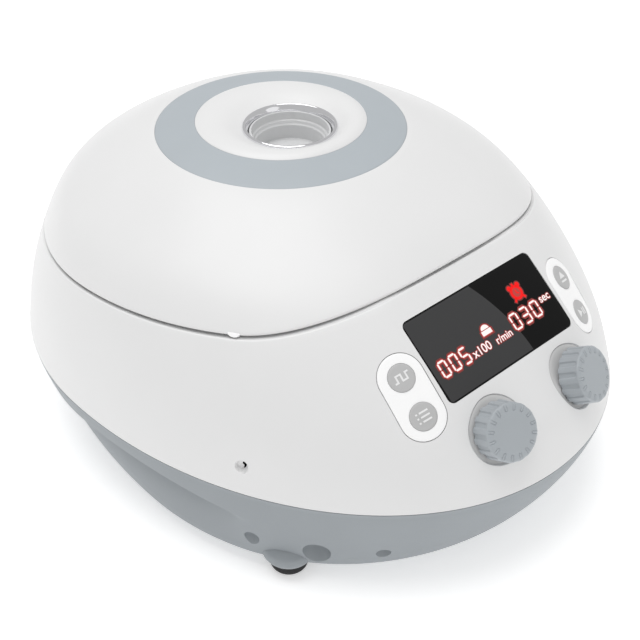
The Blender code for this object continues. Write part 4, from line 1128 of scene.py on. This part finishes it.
def hinge_outline(near, above):
    """A leaf along the skin that runs into the hinge barrel, as (y, z) points."""
    away = [(y + 3.0, z) for y, z in near]
    first, last = (-12, 8) if above else (-8, 12)
    turn = [k * math.pi / 16.0 for k in range(first, last + 1)]
    barrel = [(HINGE.y + HINGE_BARREL_R * math.cos(a), HINGE.z + HINGE_BARREL_R * math.sin(a))
              for a in turn]
    if above:
        return near[::-1] + barrel + away[3:]
    return near + barrel[::-1] + away[:-3][::-1]


# ---- Chamber and rotor -----------------------------------------------------------------

def make_chamber():
    chamber = Matrix.Translation(CHAMBER)
    bowl = turned("chamber_bowl_fine", [(9.0, 46.2), (70.0, 46.2), (80.0, 50.2), (84.2, 58.0), (84.2, 89.2),
                                        (86.3, 89.2), (86.3, 90.7), (83.0, 90.7), (83.0, 58.4),
                                        (79.2, 51.2), (69.7, 47.5), (9.0, 47.5)], STEEL, chamber, 192,
                  soft=[0.3, 4.0, 4.0, 4.0, 0.6, 0.3, 0.6, 0.9, 4.0, 4.0, 4.0, 0.3])
    place(bowl, "base", "steel", "chamber_bowl")
    seal = turned("chamber_gasket_fine", [(82.8, DECK_Z + GAP), (85.6, DECK_Z + GAP), (85.3, DECK_Z + 1.4),
                                          (84.9, DECK_Z + 2.2), (83.8, DECK_Z + 2.2), (83.2, DECK_Z + 1.2)],
                  SEAL, chamber, 192, soft=0.5)
    place(seal, "base", "silicone", "chamber_gasket")
    rotor = turned("rotor_fine", [(4.0, 50.5), (15.0, 50.5), (15.0, 57.0), (38.0, 57.0), (50.0, 51.0),
                                  (72.0, 51.0), (75.0, 54.0), (75.0, 88.5), (73.5, 90.0), (68.0, 90.0),
                                  (30.0, 66.0), (15.0, 66.0), (14.0, 70.0), (4.0, 70.0)], ALUMINIUM,
                   chamber, 144, soft=[0.3, 0.6, 2, 2, 2, 1, 1, 1, 0.8, 0.9, 3, 2, 0.8, 0.3])
    wells = []
    for index in range(TUBES):
        angle = 2.0 * math.pi * (index + 0.5) / TUBES
        outward = Vector((math.cos(angle), math.sin(angle), 0.0))
        mouth = CHAMBER + outward * TUBE_CIRCLE_R + Vector((0.0, 0.0, TUBE_MOUTH_Z))
        up = (Vector((0.0, 0.0, 1.0)) - outward).normalized()
        wells.append(turned("well", [(0.4, -28.0), (3.0, -28.0), (5.6, -25.0), (5.6, 12.0)], BLACK,
                            frame_at(mouth, up), 40, bored=False))
    combine(rotor, merged("wells", wells, BLACK))
    place(rotor, "rotor", "aluminium", "rotor")
    nut = turned("rotor_nut_fine", [(4.0, 76.0), (4.0, 70.3), (12.0, 70.3), (12.0, 79.0), (10.0, 81.5)],
                 ALUMINIUM, chamber, 96, bored=False, soft=0.7)
    ribs = []
    for angle in 2.0 * np.pi * np.arange(NUT_RIBS) / NUT_RIBS:
        outward = Vector((NUT_RIB_CIRCLE_R * math.cos(angle), NUT_RIB_CIRCLE_R * math.sin(angle), 0.0))
        ribs.append(rod("rib", 1.1, 71.4, 83.0, Matrix.Translation(CHAMBER + outward), 20))
    combine(nut, merged("ribs", ribs, BLACK))
    place(nut, "rotor", "aluminium", "rotor_nut")


# ---- Back ------------------------------------------------------------------------------

def make_back():
    tray = box("rear_panel_fine", (-31.0, REAR_Y, REAR_LOW), (31.0, 170.0, REAR_HIGH), GREY)
    combine(tray, box("cut", (-29.0, REAR_Y + 2.5, REAR_LOW + 2.0), (29.0, 171.0, REAR_HIGH - 2.0), BLACK))
    holes = [box("cut", (left, REAR_Y - 5.0, 58.8), (right, REAR_Y + 2.8, 79.2), BLACK)
             for left, right in ((-24.0, 4.0), (10.0, 24.0))]
    combine(tray, merged("holes", holes, BLACK))
    heights = np.linspace(REAR_LOW - 4.0, REAR_HIGH + 4.0, 20)
    body = loft("body", [egg(TURN, along_egg(np.full(AROUND, z))) for z in heights], BLACK)
    combine(tray, body, "INTERSECT")
    place(bevelled(tray, 0.3, 2), "base", "grey_plastic", "rear_panel")
    inlet = box("power_inlet_fine", (-23.7, REAR_Y - 20.0, 59.1), (3.7, REAR_Y + 4.5, 78.9), BLACK)
    combine(inlet, box("cut", (-21.5, REAR_Y - 12.0, 61.5), (1.5, REAR_Y + 6.0, 76.5), BLACK))
    place(bevelled(inlet, 0.5, 2), "base", "black_plastic", "power_inlet")
    for index, (x, z) in enumerate(((-17.0, 68.0), (-10.0, 72.0), (-3.0, 68.0))):
        pin = box(f"inlet_pin_{index + 1}", (x - 1.0, REAR_Y - 12.5, z - 2.0),
                  (x + 1.0, REAR_Y - 1.0, z + 2.0), NICKEL)
        place(bevelled(pin, 0.3, 2), "base", "steel")
    switch = box("switch_frame_fine", (10.3, REAR_Y - 14.0, 59.1), (23.7, REAR_Y + 4.0, 78.9), BLACK)
    combine(switch, box("cut", (12.0, REAR_Y - 8.0, 60.8), (22.0, REAR_Y + 6.0, 77.2), BLACK))
    place(bevelled(switch, 0.4, 2), "base", "black_plastic", "switch_frame")
    side_view = [(-4.5, -7.2), (5.4, -7.2), (4.0, -3.6), (3.2, 0.0), (3.5, 3.6), (4.2, 7.2), (-4.5, 7.2)]
    rows = [[Vector((x, REAR_Y + 1.0 + y, 69.0 + z)) for y, z in side_view] for x in (12.4, 21.6)]
    rocker = bevelled(loft("power_rocker_fine", rows, BLACK), 0.4, 2)
    place(rocker, "power_rocker", "black_plastic", "power_rocker")
    facing = frame_at((17.0, REAR_Y + 1.0, 69.0), (0.0, 1.0, 0.0))
    marks = [stroke([(-0.6, 4.3), (0.6, 4.3)], 0.5)]
    ring = [(1.3 * math.cos(a), -4.6 + 1.3 * math.sin(a)) for a in np.linspace(0.0, 2 * np.pi, 25)]
    marks += [stroke(ring[:13], 0.45), stroke(ring[12:], 0.45)]
    place(flat_pieces("power_rocker_mark", marks, 3.0, 4.75, MARK, facing), "power_rocker",
          "white_plastic")


# ---- Carried-over CAD nodes ------------------------------------------------------------

KEPT = (
    (BLACK, "display_module encoder_left encoder_right latch_solenoid"),
    (ALUMINIUM, "encoder_shaft_left encoder_shaft_right motor_mount_plate"),
    (STEEL, "lid_striker latch_guide latch_bolt motor_can shaft_bearing_lower shaft_bearing_upper "
            "drive_shaft motor_rotor power_supply housing_screw_1 housing_screw_2"),
    (RUBBER, "motor_damper_1 motor_damper_2 motor_damper_3 motor_cable"),
    (BOARD, "control_board"),
)


def dress_kept_nodes():
    for look, names in KEPT:
        for name in names.split():
            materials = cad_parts[name].data.materials
            materials.clear()
            materials.append(look)


# ---- Studio ----------------------------------------------------------------------------

# Name, place and diameter in metres, and power in watts.
LAMPS = (("overhead", (-0.1, 0.3, 1.9), 1.5, 19.0), ("front", (0.2, -1.7, 0.8), 1.2, 1.5))
LOOKED_AT = Vector((0.0, 0.0, 0.08))
CAMERA_PLACE = (-0.29815, -0.32932, 0.38052)
CAMERA_TILT = math.radians(52.541)
CAMERA_TURN = math.radians(-42.359)
FOCAL_LENGTH = 60.9
SENSOR_WIDTH = 36.0
SKY_STRENGTH = 0.56
FLOOR_REACH = 8.0
FLOOR_GLOW = 0.42


def make_studio():
    floor_look = surface("studio_floor", (0.93, 0.93, 0.93), 0.7, grain=(300.0, 0.01), mottle=0.004)
    floor_shader = floor_look.node_tree.nodes["Principled BSDF"]
    floor_shader.inputs["Emission Color"].default_value = (1.0, 1.0, 1.0, 1.0)
    floor_shader.inputs["Emission Strength"].default_value = FLOOR_GLOW
    mesh = bpy.data.meshes.new("floor")
    corners = [(x * FLOOR_REACH, y * FLOOR_REACH, 0.0) for x, y in ((-1, -1), (1, -1), (1, 1), (-1, 1))]
    mesh.from_pydata(corners, [], [(0, 1, 2, 3)])
    finish("floor", mesh, floor_look)
    world = bpy.data.worlds.new("studio")
    world.use_nodes = True
    sky = world.node_tree.nodes["Background"]
    sky.inputs["Color"].default_value = (1.0, 1.0, 1.0, 1.0)
    sky.inputs["Strength"].default_value = SKY_STRENGTH
    bpy.context.scene.world = world
    for name, where, size, power in LAMPS:
        data = bpy.data.lights.new(name, "AREA")
        data.shape = "DISK"
        data.size = size
        data.energy = power
        lamp = bpy.data.objects.new(name, data)
        bpy.context.scene.collection.objects.link(lamp)
        lamp.location = where
        aim = LOOKED_AT - Vector(where)
        lamp.rotation_euler = aim.to_track_quat("-Z", "Y").to_euler()
    bpy.context.scene.view_settings.view_transform = "Standard"
    lens = bpy.data.cameras.new("camera")
    lens.lens = FOCAL_LENGTH
    lens.sensor_width = SENSOR_WIDTH
    lens.clip_start = 0.01
    lens.clip_end = 50.0
    camera = bpy.data.objects.new("camera", lens)
    bpy.context.scene.collection.objects.link(camera)
    camera.location = CAMERA_PLACE
    camera.rotation_euler = (CAMERA_TILT, 0.0, CAMERA_TURN)
    bpy.context.scene.camera = camera


make_base()
make_housing()
make_display()
make_controls()
make_seat_shade(-1)
make_seat_shade(1)
make_seam_tab()
make_lid()
make_hinges()
make_chamber()
make_back()
dress_kept_nodes()
make_studio()
